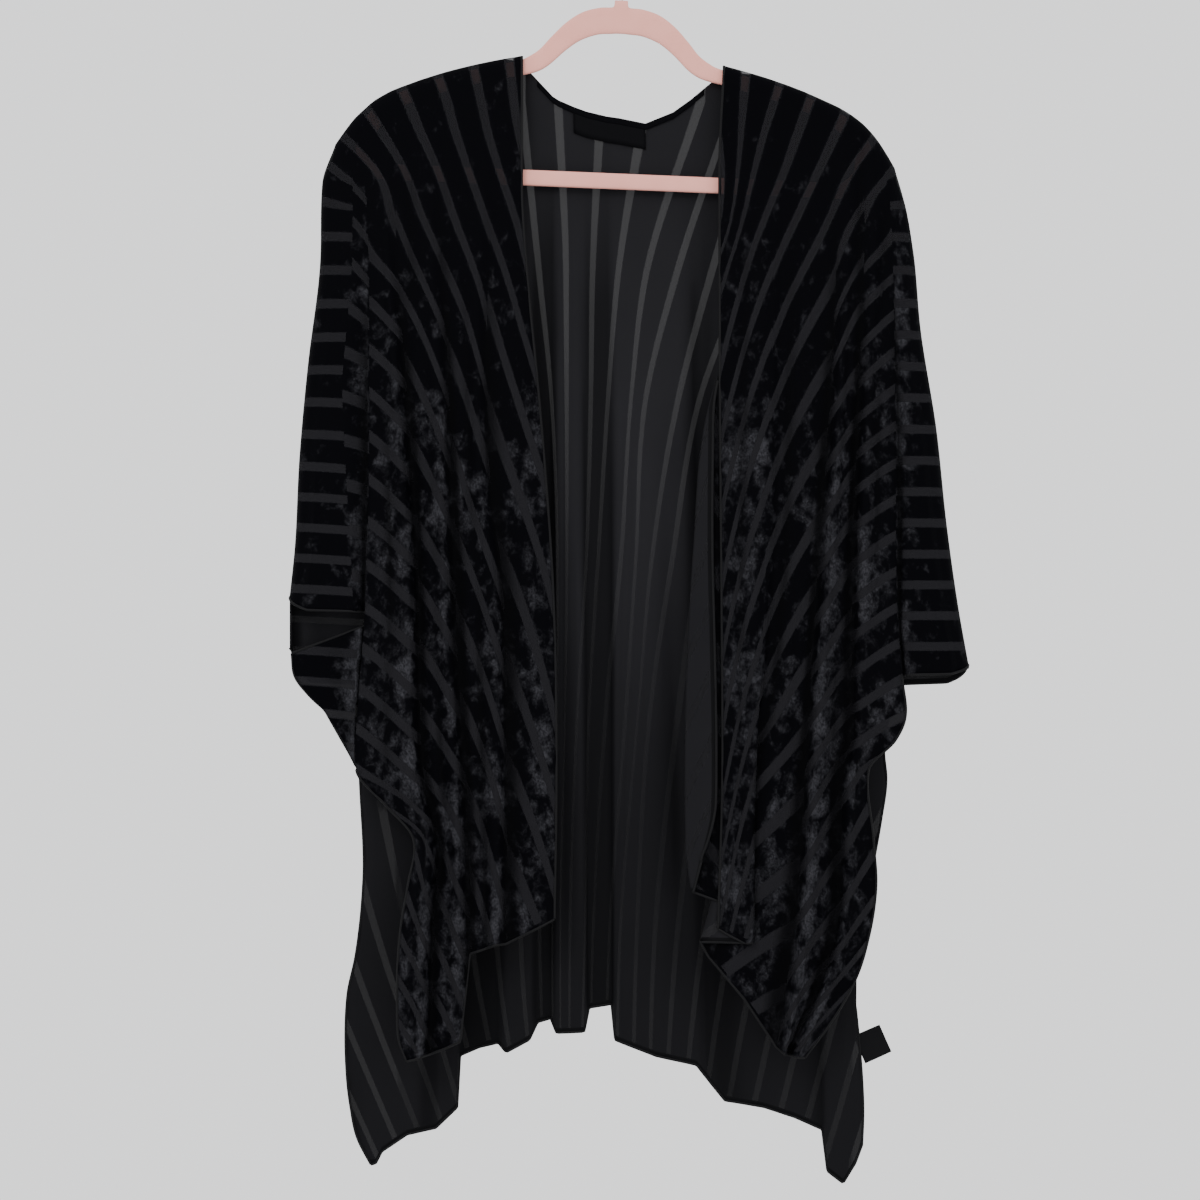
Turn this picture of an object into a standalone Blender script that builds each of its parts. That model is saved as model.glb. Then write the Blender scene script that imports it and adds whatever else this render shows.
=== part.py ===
"""Kimono coat of striped burnout velvet on a flocked hanger.

Sizes are in millimetres, X to the viewer's right, Y away from the viewer and Z up. The origin is the
inside top of the hook, where a rail holds the hanger. The coat hangs by its own weight: each panel is
one open surface, lofted through upright fold lines, and Solidify gives it the thickness of the cloth.
"""

import math

import bpy
import numpy as np
from mathutils import Matrix

MM = 0.001
COAT = "kimono_coat"

# Cloth
CLOTH = 1.5
SEAM_HALF_GAP = 0.38
TRIM_CLEARANCE = 0.3
TRIM = 0.9

# Hanger
HANGER_TILT = math.radians(2.4)
HANGER_THICKNESS = 5.5
WIRE_RADIUS = 1.6
HOOK_RADIUS = 22.0
HOOK_END_DEG = 205.0
COLLAR_TOP = -69.5
COLLAR_HALF_WIDTH = 5.0
STEM_TOP = -50.0

# Half of the moulded hanger in its own upright frame, from the centre outwards: (x, z).
HANGER_OUTSIDE = [
    (COLLAR_HALF_WIDTH, COLLAR_TOP), (COLLAR_HALF_WIDTH + 1.5, -75.0), (18, -76.2), (32, -80.5),
    (45, -89.5), (57, -102), (66, -112.5), (75, -119), (84, -123), (110, -129.2), (142, -138.2),
    (170, -148.6), (190, -158.4), (202, -167.8), (210, -178), (214.5, -189), (215.5, -200),
    (213, -212), (205, -221.5), (190, -226),
]
HANGER_INSIDE = [
    (0, -97), (19, -98.5), (33, -104), (45, -113), (57, -124.5), (66, -130.5), (75, -133.5),
    (84, -135.4), (110, -141.5), (142, -150.5), (170, -161), (185, -170.5), (195, -181),
    (199, -191), (199, -201), (194, -209), (185, -213),
]

# The line where front and back meet over the arm of the hanger, in the hanger's frame: (x, z).
SHOULDER = [
    (85.5, -119.8), (112, -126), (142.5, -134.8), (170, -145), (191, -154.5), (205, -164.2),
    (216, -175.5), (225, -188), (232, -199),
]
# Below the end of the arm the same fold hangs down to the cuff: (distance from the middle, z).
SLEEVE_FOLD = {
    "wearer_right": [(251, -221.5), (253, -291), (263, -373), (270, -450), (274, -526), (278, -564)],
    "wearer_left": [(232.4, -240), (239, -278), (245, -342), (258, -424), (267, -507), (277, -577),
                    (284.7, -620)],
}
SIDE = {"wearer_right": -1, "wearer_left": 1}

# Fold lines of each front, from its edge at the opening to its side. The columns are the name, how far
# the fold stands out, the hem's height just inside and just outside the line, and the line itself as
# (z, distance from the middle).
FRONT_FOLDS = {
    "wearer_right": [
        ("edge", 5, -828, -828, [(-116, 85.5), (-215, 85.5), (-318, 79), (-384, 72.5), (-459, 66),
                                 (-545, 60), (-704, 56.5), (-828, 58)]),
        ("inner", 7, -849, -849, [(-120, 104), (-250, 114), (-384, 117), (-480, 113), (-543, 105),
                                  (-700, 100), (-849, 101)]),
        ("middle", 10, -857, -927, [(-127, 148), (-236, 156), (-384, 149), (-558, 143), (-650, 139),
                                    (-733, 133), (-927, 130)]),
        ("outer", 10, -939, -940, [(-143, 190), (-270, 192), (-384, 184), (-543, 174), (-708, 169),
                                   (-762, 157), (-831, 160), (-940, 163)]),
        ("side", 0, -945, -945, [(-168, 224), (-215, 215), (-384, 211), (-577, 214), (-645, 219),
                                 (-706, 221), (-735, 197), (-762, 174), (-800, 178), (-831, 183.5),
                                 (-899, 187), (-925, 186), (-945, 179)]),
    ],
    "wearer_left": [
        ("edge", 9, -836, -836, [(-125, 82), (-215, 78), (-384, 78), (-570, 79), (-706, 79.5),
                                 (-836, 76)]),
        ("pleat", 11, -847, -847, [(-130, 116), (-215, 122), (-384, 120), (-570, 114), (-706, 107),
                                   (-762, 105.5), (-847, 105.5)]),
        ("under", 0, -847, -852, [(-136, 124), (-215, 130), (-384, 128), (-570, 122), (-640, 114),
                                  (-706, 97), (-762, 84), (-831, 66), (-852, 60)]),
        ("middle", 10, -933, -938, [(-160, 172), (-215, 177), (-384, 173), (-570, 159.5), (-706, 151),
                                    (-831, 142), (-938, 126)]),
        ("outer", 9, -939, -940, [(-185, 200), (-257, 201), (-384, 196), (-570, 189.5), (-676, 189),
                                  (-706, 182), (-831, 176), (-890, 158), (-940, 135)]),
        ("side", 0, -942, -942, [(-190, 210), (-240, 219), (-384, 222.5), (-570, 223.5), (-629, 227.5),
                                 (-665, 230), (-682, 222), (-706, 200), (-762, 203.5), (-800, 206),
                                 (-842, 200), (-875, 190), (-914, 168), (-942, 147)]),
    ],
}
# The crest of a fold lies just outside its line and its valley just inside: (offset, share of height).
FOLD_PROFILE = [(-3.0, 0.0), (5.0, 1.0)]
# The sleeve's own ridge: (z, share of the way across the sleeve), and how far it stands out.
SLEEVE_RIDGE = [(-200, 0.5), (-384, 0.6), (-600, 0.15)]
SLEEVE_RIDGE_HEIGHT = 6.0
# Share of that height at the ridge and at the turning steps, from the ridge out.
RIDGE_FADE = [1.0, 0.3, 0.1, 0.0, 0.0, 0.0, 0.0]
# Steps from the outer fold inwards, close together where the cloth turns. They shrink where the sleeve
# is narrower than SLEEVE_WIDE, and are TOP_PITCH as wide along the shoulder.
TURN_STEPS = [16.0, 8.0, 3.2, 0.9, 0.12, 0.0]
TURN_RADIUS = 11.0
SLEEVE_WIDE = 28.0
TOP_PITCH = 0.4
TOP_BLEND = 30.0

# The height of the cuff at the side line and at the outer fold.
FRONT_CUFF = {"wearer_right": (-577, -564), "wearer_left": (-629, -620)}
BACK_CUFF = {"wearer_right": (-640, -607), "wearer_left": (-638, -623)}
# Under the wearer's right arm the front goes on below the cuff as a loose lobe.
SLIT = 11.0
LOBE_BOTTOM_AT_SIDE = -706
LOBE_EDGE = [(276.5, -611), (274, -630), (262, -646), (249, -658)]

# How far the front of a sleeve hangs from the middle plane at most, and how full the lobe is at its edge.
SLEEVE_DEPTH = 11.0
LOBE_FULLNESS = 0.8
# How far the front and the back hang from the middle plane: (z, distance).
FRONT_DEPTH = [(-1060, 30), (-800, 25), (-560, 18), (-384, 13), (-230, 9), (-110, 6)]
BACK_DEPTH = [(-1060, 17), (-800, 15), (-560, 12), (-384, 10), (-230, 8.5), (-110, 6.5)]
FOLDS_BEGIN = -150
FOLDS_FULL = -520

# The back's upright lines from the viewer's left to right: x at the shoulder or neck, x at the hem,
# the hem's height, and how far the line stands towards the viewer at the hem.
BACK_LINES = [
    (-211, -208, -1037, 5), (-196, -203, -1027, 5), (-176, -182, -1013, 4), (-156, -158, -1008, 1),
    (-142, -140, -990, 6), (-139, -138, -948, -4), (-122, -122, -941, -4), (-106, -106, -937, -2),
    (-100, -99, -944, 6),
    (-85, -80, -934, 4), (-73, -73, -920, -4), (-60, -62, -917, -5), (-55, -57, -928, 5),
    (-43, -34, -927, 5), (-32, -30, -908, -4), (-15, -11, -905, -4), (-5, -8, -934, 5),
    (17, 26, -947, 6), (40, 60, -955, 3), (55, 72, -971, -3), (66, 84, -986, -5),
    (82, 116, -991, -3), (112, 142, -999, 0), (146, 165, -1009, 2), (160, 169, -1043, 8),
    (176, 182, -1053, 8), (198, 192, -1037, 6),
]
BACK_SIDE = {
    "wearer_right": [(-168, 224), (-215, 215), (-384, 212), (-577, 217), (-640, 221), (-706, 221),
                     (-799, 218), (-866, 225), (-897, 231.5), (-942, 233), (-990, 229), (-1017, 223),
                     (-1038, 212)],
    "wearer_left": [(-190, 210), (-240, 219), (-384, 222), (-570, 223), (-638, 224), (-694, 216),
                    (-716, 218), (-748, 214), (-783, 208), (-842, 200), (-875, 190), (-914, 193.5),
                    (-945, 196.5), (-998, 199), (-1022, 198)],
}
# Heights of the back at its sides: the top, the cuff, how far the slit opens under it, and the hem.
BACK_TOP = -176.0
BACK_CUFF_ROW = -639.0
BACK_SLIT = 22.0
BACK_HEM = -1035.0
# The fold at the back's sides, and how much of a fold's height the back shows.
BACK_SIDE_FOLD = 4.0
BACK_FOLDS_SHARE = 0.8
# The back neckline: (x, z).
NECKLINE = [
    (-85, -121), (-75.5, -131), (-62, -146), (-43, -156), (-21, -163), (-2, -166), (17, -170),
    (34, -164), (48, -155.5), (61, -145), (73, -135), (83, -127),
]
BINDING_COLUMNS = (11, 21)
BINDING_ROWS = (1, 4)
LABEL_COLUMNS = (14, 18)
LABEL_ROWS = (5, 7)

# Rows below the shoulder: first measured down from it, then shared out to the cuff, the lobe and hem.
TOP_STEPS = [0.0, 0.12, 0.9, 3.0, 6.5, 8.0, 15.0, 22.0]
ROWS_TO_CUFF = 9
ROWS_TO_LOBE = 3
ROWS_TO_HEM = 7

CARE_LABEL = {"x": 199.5, "z": -941, "width": 20.0, "length": 25.0, "turn_deg": -24.0, "y": 14.85}


def collection(name):
    """Returns a new collection in the scene."""
    made = bpy.data.collections.new(name)
    bpy.context.scene.collection.children.link(made)
    return made


def material(name, colour, roughness, metallic=0.0):
    """Returns a Principled material."""
    made = bpy.data.materials.new(name)
    made.use_nodes = True
    shader = made.node_tree.nodes["Principled BSDF"]
    shader.inputs["Base Color"].default_value = (*colour, 1.0)
    shader.inputs["Roughness"].default_value = roughness
    shader.inputs["Metallic"].default_value = metallic
    return made


def hanger_to_world(points):
    """Turns (x, z) points of the upright hanger to the angle at which it hangs."""
    x, z = np.array(points, float).T
    c, s = math.cos(HANGER_TILT), math.sin(HANGER_TILT)
    return np.stack([x * c + z * s, z * c - x * s], axis=1)


def fold_outline(side):
    """Returns the outer fold of one side, from the neck to the cuff, as (x, z) points."""
    sign = SIDE[side]
    shoulder = hanger_to_world([(sign * x, z) for x, z in SHOULDER])
    sleeve = np.array([(sign * s, z) for s, z in SLEEVE_FOLD[side]], float)
    return np.vstack([shoulder, sleeve])


def at_height(line, z):
    """Reads a line of (z, distance) pairs at a height."""
    table = np.array(sorted(line), float)
    return np.interp(z, table[:, 0], table[:, 1])


def outline_x(side, z):
    """Distance from the middle of the outer fold at a height below the shoulder's end."""
    outline = fold_outline(side)[len(SHOULDER) - 1:]
    return at_height([(b, abs(a)) for a, b in outline], z)


def shoulder_z(side, s):
    """Height of the shoulder at a distance from the middle."""
    outline = fold_outline(side)[:len(SHOULDER)]
    return np.interp(s, np.abs(outline[:, 0]), outline[:, 1])


def distance_to(outline, x, z):
    """Distance from each point to a line of straight stretches."""
    best = np.full(np.shape(x), np.inf)
    for a, b in zip(outline[:-1], outline[1:]):
        d = b - a
        t = np.clip(((x - a[0]) * d[0] + (z - a[1]) * d[1]) / (d @ d), 0, 1)
        best = np.minimum(best, np.hypot(x - a[0] - t * d[0], z - a[1] - t * d[1]))
    return best


def turn(distance):
    """Share of its full depth that the cloth has at a distance from the outer fold: a quarter circle."""
    q = np.clip(distance / TURN_RADIUS, 0, 1)
    return np.sqrt(1 - (1 - q) ** 2)


def folds_share(z):
    """Share of a fold's full height: none at the shoulder, all of it from chest height down."""
    t = np.clip((FOLDS_BEGIN - z) / (FOLDS_BEGIN - FOLDS_FULL), 0, 1)
    return t * t * (3 - 2 * t)


def smooth_columns(values):
    """Adds a column halfway between each two, on a smooth curve through all of them."""
    padded = np.hstack([2 * values[:, :1] - values[:, 1:2], values,
                        2 * values[:, -1:] - values[:, -2:-1]])
    half = (9 * (values[:, :-1] + values[:, 1:]) - padded[:, :-3] - padded[:, 3:]) / 16
    out = np.empty((values.shape[0], 2 * values.shape[1] - 1))
    out[:, 0::2] = values
    out[:, 1::2] = half
    return out


def row_heights(top, cuff, slit, lobe, hem):
    """Heights of all rows of the side line, from the shoulder to the hem."""
    upper = np.linspace(top - TOP_STEPS[-1], cuff, ROWS_TO_CUFF + 1)[1:]
    lower = np.linspace(cuff - slit, lobe, ROWS_TO_LOBE + 1)
    last = np.linspace(lobe, hem, ROWS_TO_HEM + 1)[1:]
    return np.concatenate([top - np.array(TOP_STEPS), upper, lower, last])


def share_down(heights):
    """Turns row heights into shares of the way from the last of the top steps to the hem."""
    start = heights[len(TOP_STEPS) - 1]
    return np.clip((start - heights) / (start - heights[-1]), 0, 1)


def column_heights(top, hem, share):
    """Heights of a column's rows between its own top and hem."""
    steps = np.array(TOP_STEPS + [TOP_STEPS[-1]] * (len(share) - len(TOP_STEPS)))
    return top - steps - share * (top - TOP_STEPS[-1] - hem)


def front_columns(side):
    """Returns the front's fold columns as (line, offset, height, hem) from the opening to the side.

    A line is read above its top end as at its top end, which gives a column's place at the shoulder.
    """
    folds = FRONT_FOLDS[side]
    columns = [(folds[0][4], 0.0, folds[0][1] * 0.7, folds[0][2]),
               (folds[0][4], 11.0, folds[0][1], folds[0][2] - 6)]
    for k, (name, height, hem_in, hem_out, line) in enumerate(folds[1:-1], 1):
        if name == "pleat":
            columns += [(line, -7.0, height, hem_in), (line, 0.0, height * 0.75, hem_in)]
        elif name == "under":
            columns += [(line, 0.0, 2.5, hem_in), (line, 8.0, 0.0, hem_out - 7)]
            columns.append(([line, folds[k + 1][4]], 0.0, 3.0, (hem_out + folds[k + 1][2]) / 2))
        else:
            columns += [(line, offset, share * height, hem_in if offset < 0 else hem_out)
                        for offset, share in FOLD_PROFILE]
            after = folds[k + 1]
            columns.append(([line, after[4]], 0.0, 0.45 * height, (hem_out + after[2]) / 2))
    columns.append((folds[-1][4], 0.0, 0.0, folds[-1][2]))
    return columns


def sleeve_columns(side, line, share):
    """Returns the sleeve's columns from the side line out, as (rows, distances) below their tops.

    share gives each column's row heights from its top. The first column is the sleeve's ridge, and the
    rest follow the outer fold at the turning steps.
    """
    corner = abs(fold_outline(side)[len(SHOULDER) - 1][0])
    made = []
    for k, step in enumerate([None] + TURN_STEPS):
        tops = [corner - (step or 0) * TOP_PITCH, (line[0][1] + corner - TURN_STEPS[0] * TOP_PITCH) / 2]
        first = tops[1] if step is None else tops[0]
        rows = share(k, shoulder_z(side, first))
        inner, outer = at_height(line, rows), outline_x(side, rows)
        pitch = np.clip((outer - inner) / SLEEVE_WIDE, 0.2, 1.0)
        dist = outer - (step or 0) * pitch
        if step is None:
            ridge = at_height(SLEEVE_RIDGE, rows)
            dist = inner + ridge * (outer - TURN_STEPS[0] * pitch - inner)
        if step != 0.0:
            blend = np.clip((rows[0] - rows) / TOP_BLEND, 0, 1)
            dist = first * (1 - blend) + dist * blend
        made.append((rows, dist))
    return made


def column_distance(line, offset, z):
    """Distance of a column from the middle: on its line, or halfway between two lines."""
    if isinstance(line[0], list):
        return (at_height(line[0], z) + at_height(line[1], z)) / 2
    return at_height(line, z) + offset


def front_grid(side):
    """Returns the points of one front and the cells that have cloth."""
    sign = SIDE[side]
    columns = front_columns(side)
    side_line = FRONT_FOLDS[side][-1][4]
    cuff_side, cuff_fold = FRONT_CUFF[side]
    side_top = shoulder_z(side, side_line[0][1])
    hem = FRONT_FOLDS[side][-1][2]
    heights = row_heights(side_top, cuff_side, SLIT, LOBE_BOTTOM_AT_SIDE, hem)
    share = share_down(heights)
    s, z, swell = [], [], []
    for line, offset, height, bottom in columns:
        first = column_distance(line, offset, 0.0)
        top = shoulder_z(side, first)
        rows = column_heights(top, bottom, share)
        dist = column_distance(line, offset, rows)
        s.append(dist)
        z.append(rows)
        swell.append(height * folds_share(rows))
    s, z, swell = (smooth_columns(np.array(a).T) for a in (s, z, swell))

    cuff_row = len(TOP_STEPS) - 1 + ROWS_TO_CUFF
    lobe_row = cuff_row + 1 + ROWS_TO_LOBE
    upper = share_down(heights[:cuff_row + 1])
    count = len(TURN_STEPS) + 1

    def sleeve_rows(k, top):
        part = (k + 1) / count
        return column_heights(top, cuff_side + part * (cuff_fold - cuff_side), upper)

    lobe_rows = np.linspace(0, len(LOBE_EDGE) - 1, ROWS_TO_LOBE + 1)
    lobe_s, lobe_z = (np.interp(lobe_rows, range(len(LOBE_EDGE)), c) for c in zip(*LOBE_EDGE))
    edge_s = s[cuff_row + 1:lobe_row + 1, -1]
    edge_z = z[cuff_row + 1:lobe_row + 1, -1]
    unused = len(heights) - lobe_row - 1
    extra_s, extra_z, extra_swell = [], [], []
    for k, (rows, dist) in enumerate(sleeve_columns(side, side_line, sleeve_rows)):
        part = (k + 1) / count
        below_s = edge_s + (lobe_s - edge_s) * part
        below_z = edge_z + (lobe_z - edge_z) * part
        extra_s.append(np.concatenate([dist, below_s, np.full(unused, below_s[-1])]))
        extra_z.append(np.concatenate([rows, below_z, np.full(unused, below_z[-1])]))
        extra_swell.append(SLEEVE_RIDGE_HEIGHT * RIDGE_FADE[k] * folds_share(extra_z[-1]))
    s = np.hstack([s, np.array(extra_s).T])
    z = np.hstack([z, np.array(extra_z).T])
    swell = np.hstack([swell, np.array(extra_swell).T])

    outline = fold_outline(side)
    full = at_height(FRONT_DEPTH, z)
    full[:, -count:] = np.minimum(full[:, -count:], SLEEVE_DEPTH)
    round_off = turn(distance_to(outline, sign * s, z))
    wrap = np.linspace(1, 0, count + 1)[1:]
    round_off[cuff_row + 1:, -count:] = np.sqrt(wrap) * LOBE_FULLNESS
    y = -(SEAM_HALF_GAP + (full + swell) * round_off)

    cloth = np.ones((len(heights) - 1, s.shape[1] - 1), bool)
    sleeve = s.shape[1] - 1 - count
    cloth[cuff_row, sleeve:] = False
    cloth[(lobe_row if side == "wearer_right" else cuff_row):, sleeve:] = False
    return np.stack([sign * s, y, z], axis=2), cloth


def back_top(x):
    """Height of the back's upper edge: the neckline between the shoulders, the shoulder outside it."""
    neck = np.interp(x, *np.array(NECKLINE, float).T)
    if x < NECKLINE[0][0]:
        return shoulder_z("wearer_right", -x)
    if x > NECKLINE[-1][0]:
        return shoulder_z("wearer_left", x)
    return neck


def back_sleeve(side, heights, cuff_row):
    """Returns the columns of one back sleeve, from the side line out, as x and z arrays."""
    cuff_side, cuff_fold = BACK_CUFF[side]
    upper = share_down(heights[:cuff_row + 1])
    unused = len(heights) - cuff_row - 1

    def sleeve_rows(k, top):
        part = (k + 1) / (len(TURN_STEPS) + 1)
        return column_heights(top, cuff_side + part * (cuff_fold - cuff_side), upper)

    xs, zs = [], []
    for rows, dist in sleeve_columns(side, BACK_SIDE[side], sleeve_rows)[1:]:
        xs.append(SIDE[side] * np.concatenate([dist, np.full(unused, dist[-1])]))
        zs.append(np.concatenate([rows, np.full(unused, rows[-1])]))
    return xs, zs


def back_grid():
    """Returns the points of the back and the cells that have cloth."""
    heights = row_heights(BACK_TOP, BACK_CUFF_ROW, BACK_SLIT, LOBE_BOTTOM_AT_SIDE, BACK_HEM)
    share = share_down(heights)
    cuff_row = len(TOP_STEPS) - 1 + ROWS_TO_CUFF
    body_x, body_z, swell = [], [], []
    sides = {}
    for side in SIDE:
        line = BACK_SIDE[side]
        rows = column_heights(shoulder_z(side, line[0][1]), line[-1][0], share)
        sides[side] = (SIDE[side] * at_height(line, rows), rows)
    for top_x, hem_x, hem_z, height in BACK_LINES:
        top = back_top(top_x)
        rows = column_heights(top, hem_z, share)
        way = (top - rows) / (top - hem_z)
        body_x.append(top_x + (hem_x - top_x) * way)
        body_z.append(rows)
        swell.append(height * folds_share(rows))
    body_x = [sides["wearer_right"][0]] + body_x + [sides["wearer_left"][0]]
    body_z = [sides["wearer_right"][1]] + body_z + [sides["wearer_left"][1]]
    sides_swell = [BACK_SIDE_FOLD * folds_share(z) for z in (body_z[0], body_z[-1])]
    swell = [sides_swell[0]] + swell + [sides_swell[1]]

    left_x, left_z = back_sleeve("wearer_right", heights, cuff_row)
    right_x, right_z = back_sleeve("wearer_left", heights, cuff_row)
    none = np.zeros(len(heights))
    x = np.array(left_x[::-1] + body_x + right_x).T
    z = np.array(left_z[::-1] + body_z + right_z).T
    swell = np.array([none] * len(left_x) + swell + [none] * len(right_x)).T

    fold = np.minimum(distance_to(fold_outline("wearer_right"), x, z),
                      distance_to(fold_outline("wearer_left"), x, z))
    y = SEAM_HALF_GAP + (at_height(BACK_DEPTH, z) - swell * BACK_FOLDS_SHARE) * turn(fold)
    cloth = np.ones((x.shape[0] - 1, x.shape[1] - 1), bool)
    cloth[cuff_row:, :len(left_x)] = False
    cloth[cuff_row:, -len(right_x):] = False
    return np.stack([x, y, z], axis=2), cloth


def sheet(name, points, cloth, thickness, look, where):
    """Makes one piece of cloth: an open surface through a grid of points, given its thickness."""
    rows, columns = points.shape[:2]
    index = np.arange(rows * columns).reshape(rows, columns)
    i, j = np.nonzero(cloth)
    corners = [index[i, j], index[i + 1, j], index[i + 1, j + 1], index[i, j + 1]]
    faces = np.stack(corners, axis=1)
    used, faces = np.unique(faces, return_inverse=True)
    mesh = bpy.data.meshes.new(name)
    mesh.from_pydata((points.reshape(-1, 3)[used] * MM).tolist(), [], faces.reshape(-1, 4).tolist())
    mesh.shade_smooth()
    mesh.materials.append(look)
    made = bpy.data.objects.new(name, mesh)
    where.objects.link(made)
    wall = made.modifiers.new("cloth", "SOLIDIFY")
    wall.thickness = thickness * MM
    wall.offset = 0.0
    return made


def trim(name, grid, rows, columns, thickness, look, where):
    """Makes a strip that lies on the inside of a panel, from the panel's own points moved out."""
    part = grid[rows[0]:rows[1] + 1, columns[0]:columns[1] + 1].copy()
    part[:, :, 1] -= CLOTH / 2 + TRIM_CLEARANCE + thickness / 2
    cells = np.ones((part.shape[0] - 1, part.shape[1] - 1), bool)
    return sheet(name, part, cells, thickness, look, where)


def add_hanger_body(look, where):
    """Moulded hanger: a flat outline with one opening, as thick as the moulding."""
    curve = bpy.data.curves.new("hanger_body", "CURVE")
    curve.dimensions = "2D"
    curve.fill_mode = "BOTH"
    curve.extrude = HANGER_THICKNESS / 2 * MM
    for half in (HANGER_OUTSIDE, HANGER_INSIDE):
        loop = half + [(-x, z) for x, z in reversed(half) if x > 0]
        spline = curve.splines.new("POLY")
        spline.points.add(len(loop) - 1)
        for point, (x, z) in zip(spline.points, loop):
            point.co = (x * MM, z * MM, 0, 1)
        spline.use_cyclic_u = True
    made = bpy.data.objects.new("hanger_body", curve)
    made.matrix_world = Matrix.Rotation(HANGER_TILT, 4, "Y") @ Matrix.Rotation(math.pi / 2, 4, "X")
    curve.materials.append(look)
    where.objects.link(made)


def hook_path():
    """Points of the hook's wire: straight stem, a bend to the right and an open circle over the rail."""
    centre = WIRE_RADIUS - HOOK_RADIUS
    stem = [(0.0, COLLAR_TOP + TRIM_CLEARANCE), (0.0, (COLLAR_TOP + STEM_TOP) / 2), (0.0, STEM_TOP)]
    bend = [(2.0, STEM_TOP + 5.0), (6.5, STEM_TOP + 8.5), (12.0, STEM_TOP + 11.0)]
    angles = np.radians(np.linspace(-48, HOOK_END_DEG, 22))
    circle = [(HOOK_RADIUS * math.cos(a), centre + HOOK_RADIUS * math.sin(a)) for a in angles]
    return stem + bend + circle


def add_hook(look, where):
    """Steel hook: a round wire with flat ends."""
    curve = bpy.data.curves.new("hanger_hook", "CURVE")
    curve.dimensions = "3D"
    curve.bevel_depth = WIRE_RADIUS * MM
    curve.bevel_resolution = 2
    curve.use_fill_caps = True
    path = hook_path()
    spline = curve.splines.new("POLY")
    spline.points.add(len(path) - 1)
    for point, (x, z) in zip(spline.points, path):
        point.co = (x * MM, 0, z * MM, 1)
    made = bpy.data.objects.new("hanger_hook", curve)
    made.rotation_euler = (0, HANGER_TILT, 0)
    curve.materials.append(look)
    where.objects.link(made)


def add_care_label(look, where):
    """Care label: a bare ribbon sewn in the side seam of the back, sticking out to the side."""
    across = np.linspace(-4.0, CARE_LABEL["width"], 5)
    down = np.linspace(0, CARE_LABEL["length"], 4) - CARE_LABEL["length"] / 2
    u, v = np.meshgrid(across, down)
    a = math.radians(CARE_LABEL["turn_deg"])
    x = CARE_LABEL["x"] + u * math.cos(a) + v * math.sin(a)
    z = CARE_LABEL["z"] - u * math.sin(a) + v * math.cos(a)
    y = np.full_like(u, CARE_LABEL["y"])
    cells = np.ones((len(down) - 1, len(across) - 1), bool)
    sheet("care_label", np.stack([x, y, z], axis=2), cells, TRIM, look, where)


def main():
    for old in list(bpy.data.objects):
        bpy.data.objects.remove(old)
    coat = collection(COAT)
    velvet = material("burnout_velvet", (0.012, 0.012, 0.014), 0.75)
    edge = material("velvet_binding", (0.010, 0.010, 0.012), 0.8)
    ribbon = material("black_ribbon", (0.02, 0.02, 0.022), 0.5)
    care = material("care_ribbon", (0.03, 0.03, 0.032), 0.45)
    flock = material("pink_flock", (0.72, 0.45, 0.42), 0.9)
    steel = material("hook_steel", (0.75, 0.72, 0.70), 0.3, 1.0)

    back, back_cells = back_grid()
    sheet("back_panel", back, back_cells, CLOTH, velvet, coat)
    for side in SIDE:
        front, cells = front_grid(side)
        sheet("front_panel_" + side, front, cells, CLOTH, velvet.copy(), coat)
    sleeve = len(TURN_STEPS)
    binding = [sleeve + c for c in BINDING_COLUMNS]
    label = [sleeve + c for c in LABEL_COLUMNS]
    trim("neck_binding", back, BINDING_ROWS, binding, TRIM, edge, coat)
    trim("neck_label", back, LABEL_ROWS, label, TRIM, ribbon, coat)
    add_care_label(care, coat)
    add_hanger_body(flock, coat)
    add_hook(steel, coat)


main()
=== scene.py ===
import math

import bpy
import numpy as np
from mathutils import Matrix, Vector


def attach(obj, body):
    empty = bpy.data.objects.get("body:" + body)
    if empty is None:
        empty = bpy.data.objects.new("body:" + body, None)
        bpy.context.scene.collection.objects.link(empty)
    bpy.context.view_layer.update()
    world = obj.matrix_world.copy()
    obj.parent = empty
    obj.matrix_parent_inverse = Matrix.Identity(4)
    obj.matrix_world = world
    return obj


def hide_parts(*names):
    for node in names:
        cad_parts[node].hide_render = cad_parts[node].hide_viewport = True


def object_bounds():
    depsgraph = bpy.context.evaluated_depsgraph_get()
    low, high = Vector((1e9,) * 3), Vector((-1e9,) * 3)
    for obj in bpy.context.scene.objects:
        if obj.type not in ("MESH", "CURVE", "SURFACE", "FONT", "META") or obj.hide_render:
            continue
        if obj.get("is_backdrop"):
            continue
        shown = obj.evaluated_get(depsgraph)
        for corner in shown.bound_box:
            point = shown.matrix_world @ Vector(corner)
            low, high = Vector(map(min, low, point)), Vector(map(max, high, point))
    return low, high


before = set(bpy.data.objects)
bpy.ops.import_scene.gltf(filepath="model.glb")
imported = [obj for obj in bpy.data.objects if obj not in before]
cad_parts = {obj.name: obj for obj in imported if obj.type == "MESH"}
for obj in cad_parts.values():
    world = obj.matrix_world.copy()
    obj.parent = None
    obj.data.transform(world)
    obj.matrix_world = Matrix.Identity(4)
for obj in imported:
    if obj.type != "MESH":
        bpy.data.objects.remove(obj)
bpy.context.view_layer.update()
MM = 0.001

# Hanger body
# One moulding of hard plastic, a band bent into an arch with two arms and a straight bar, covered all
# over with short pink flock so that clothes don't slip. It hangs 2.4 degrees out of level.
HANGER_TILT = math.radians(2.4)
HANGER_HALF_THICKNESS = 2.75
HANGER_SQUARENESS = 0.55
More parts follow.
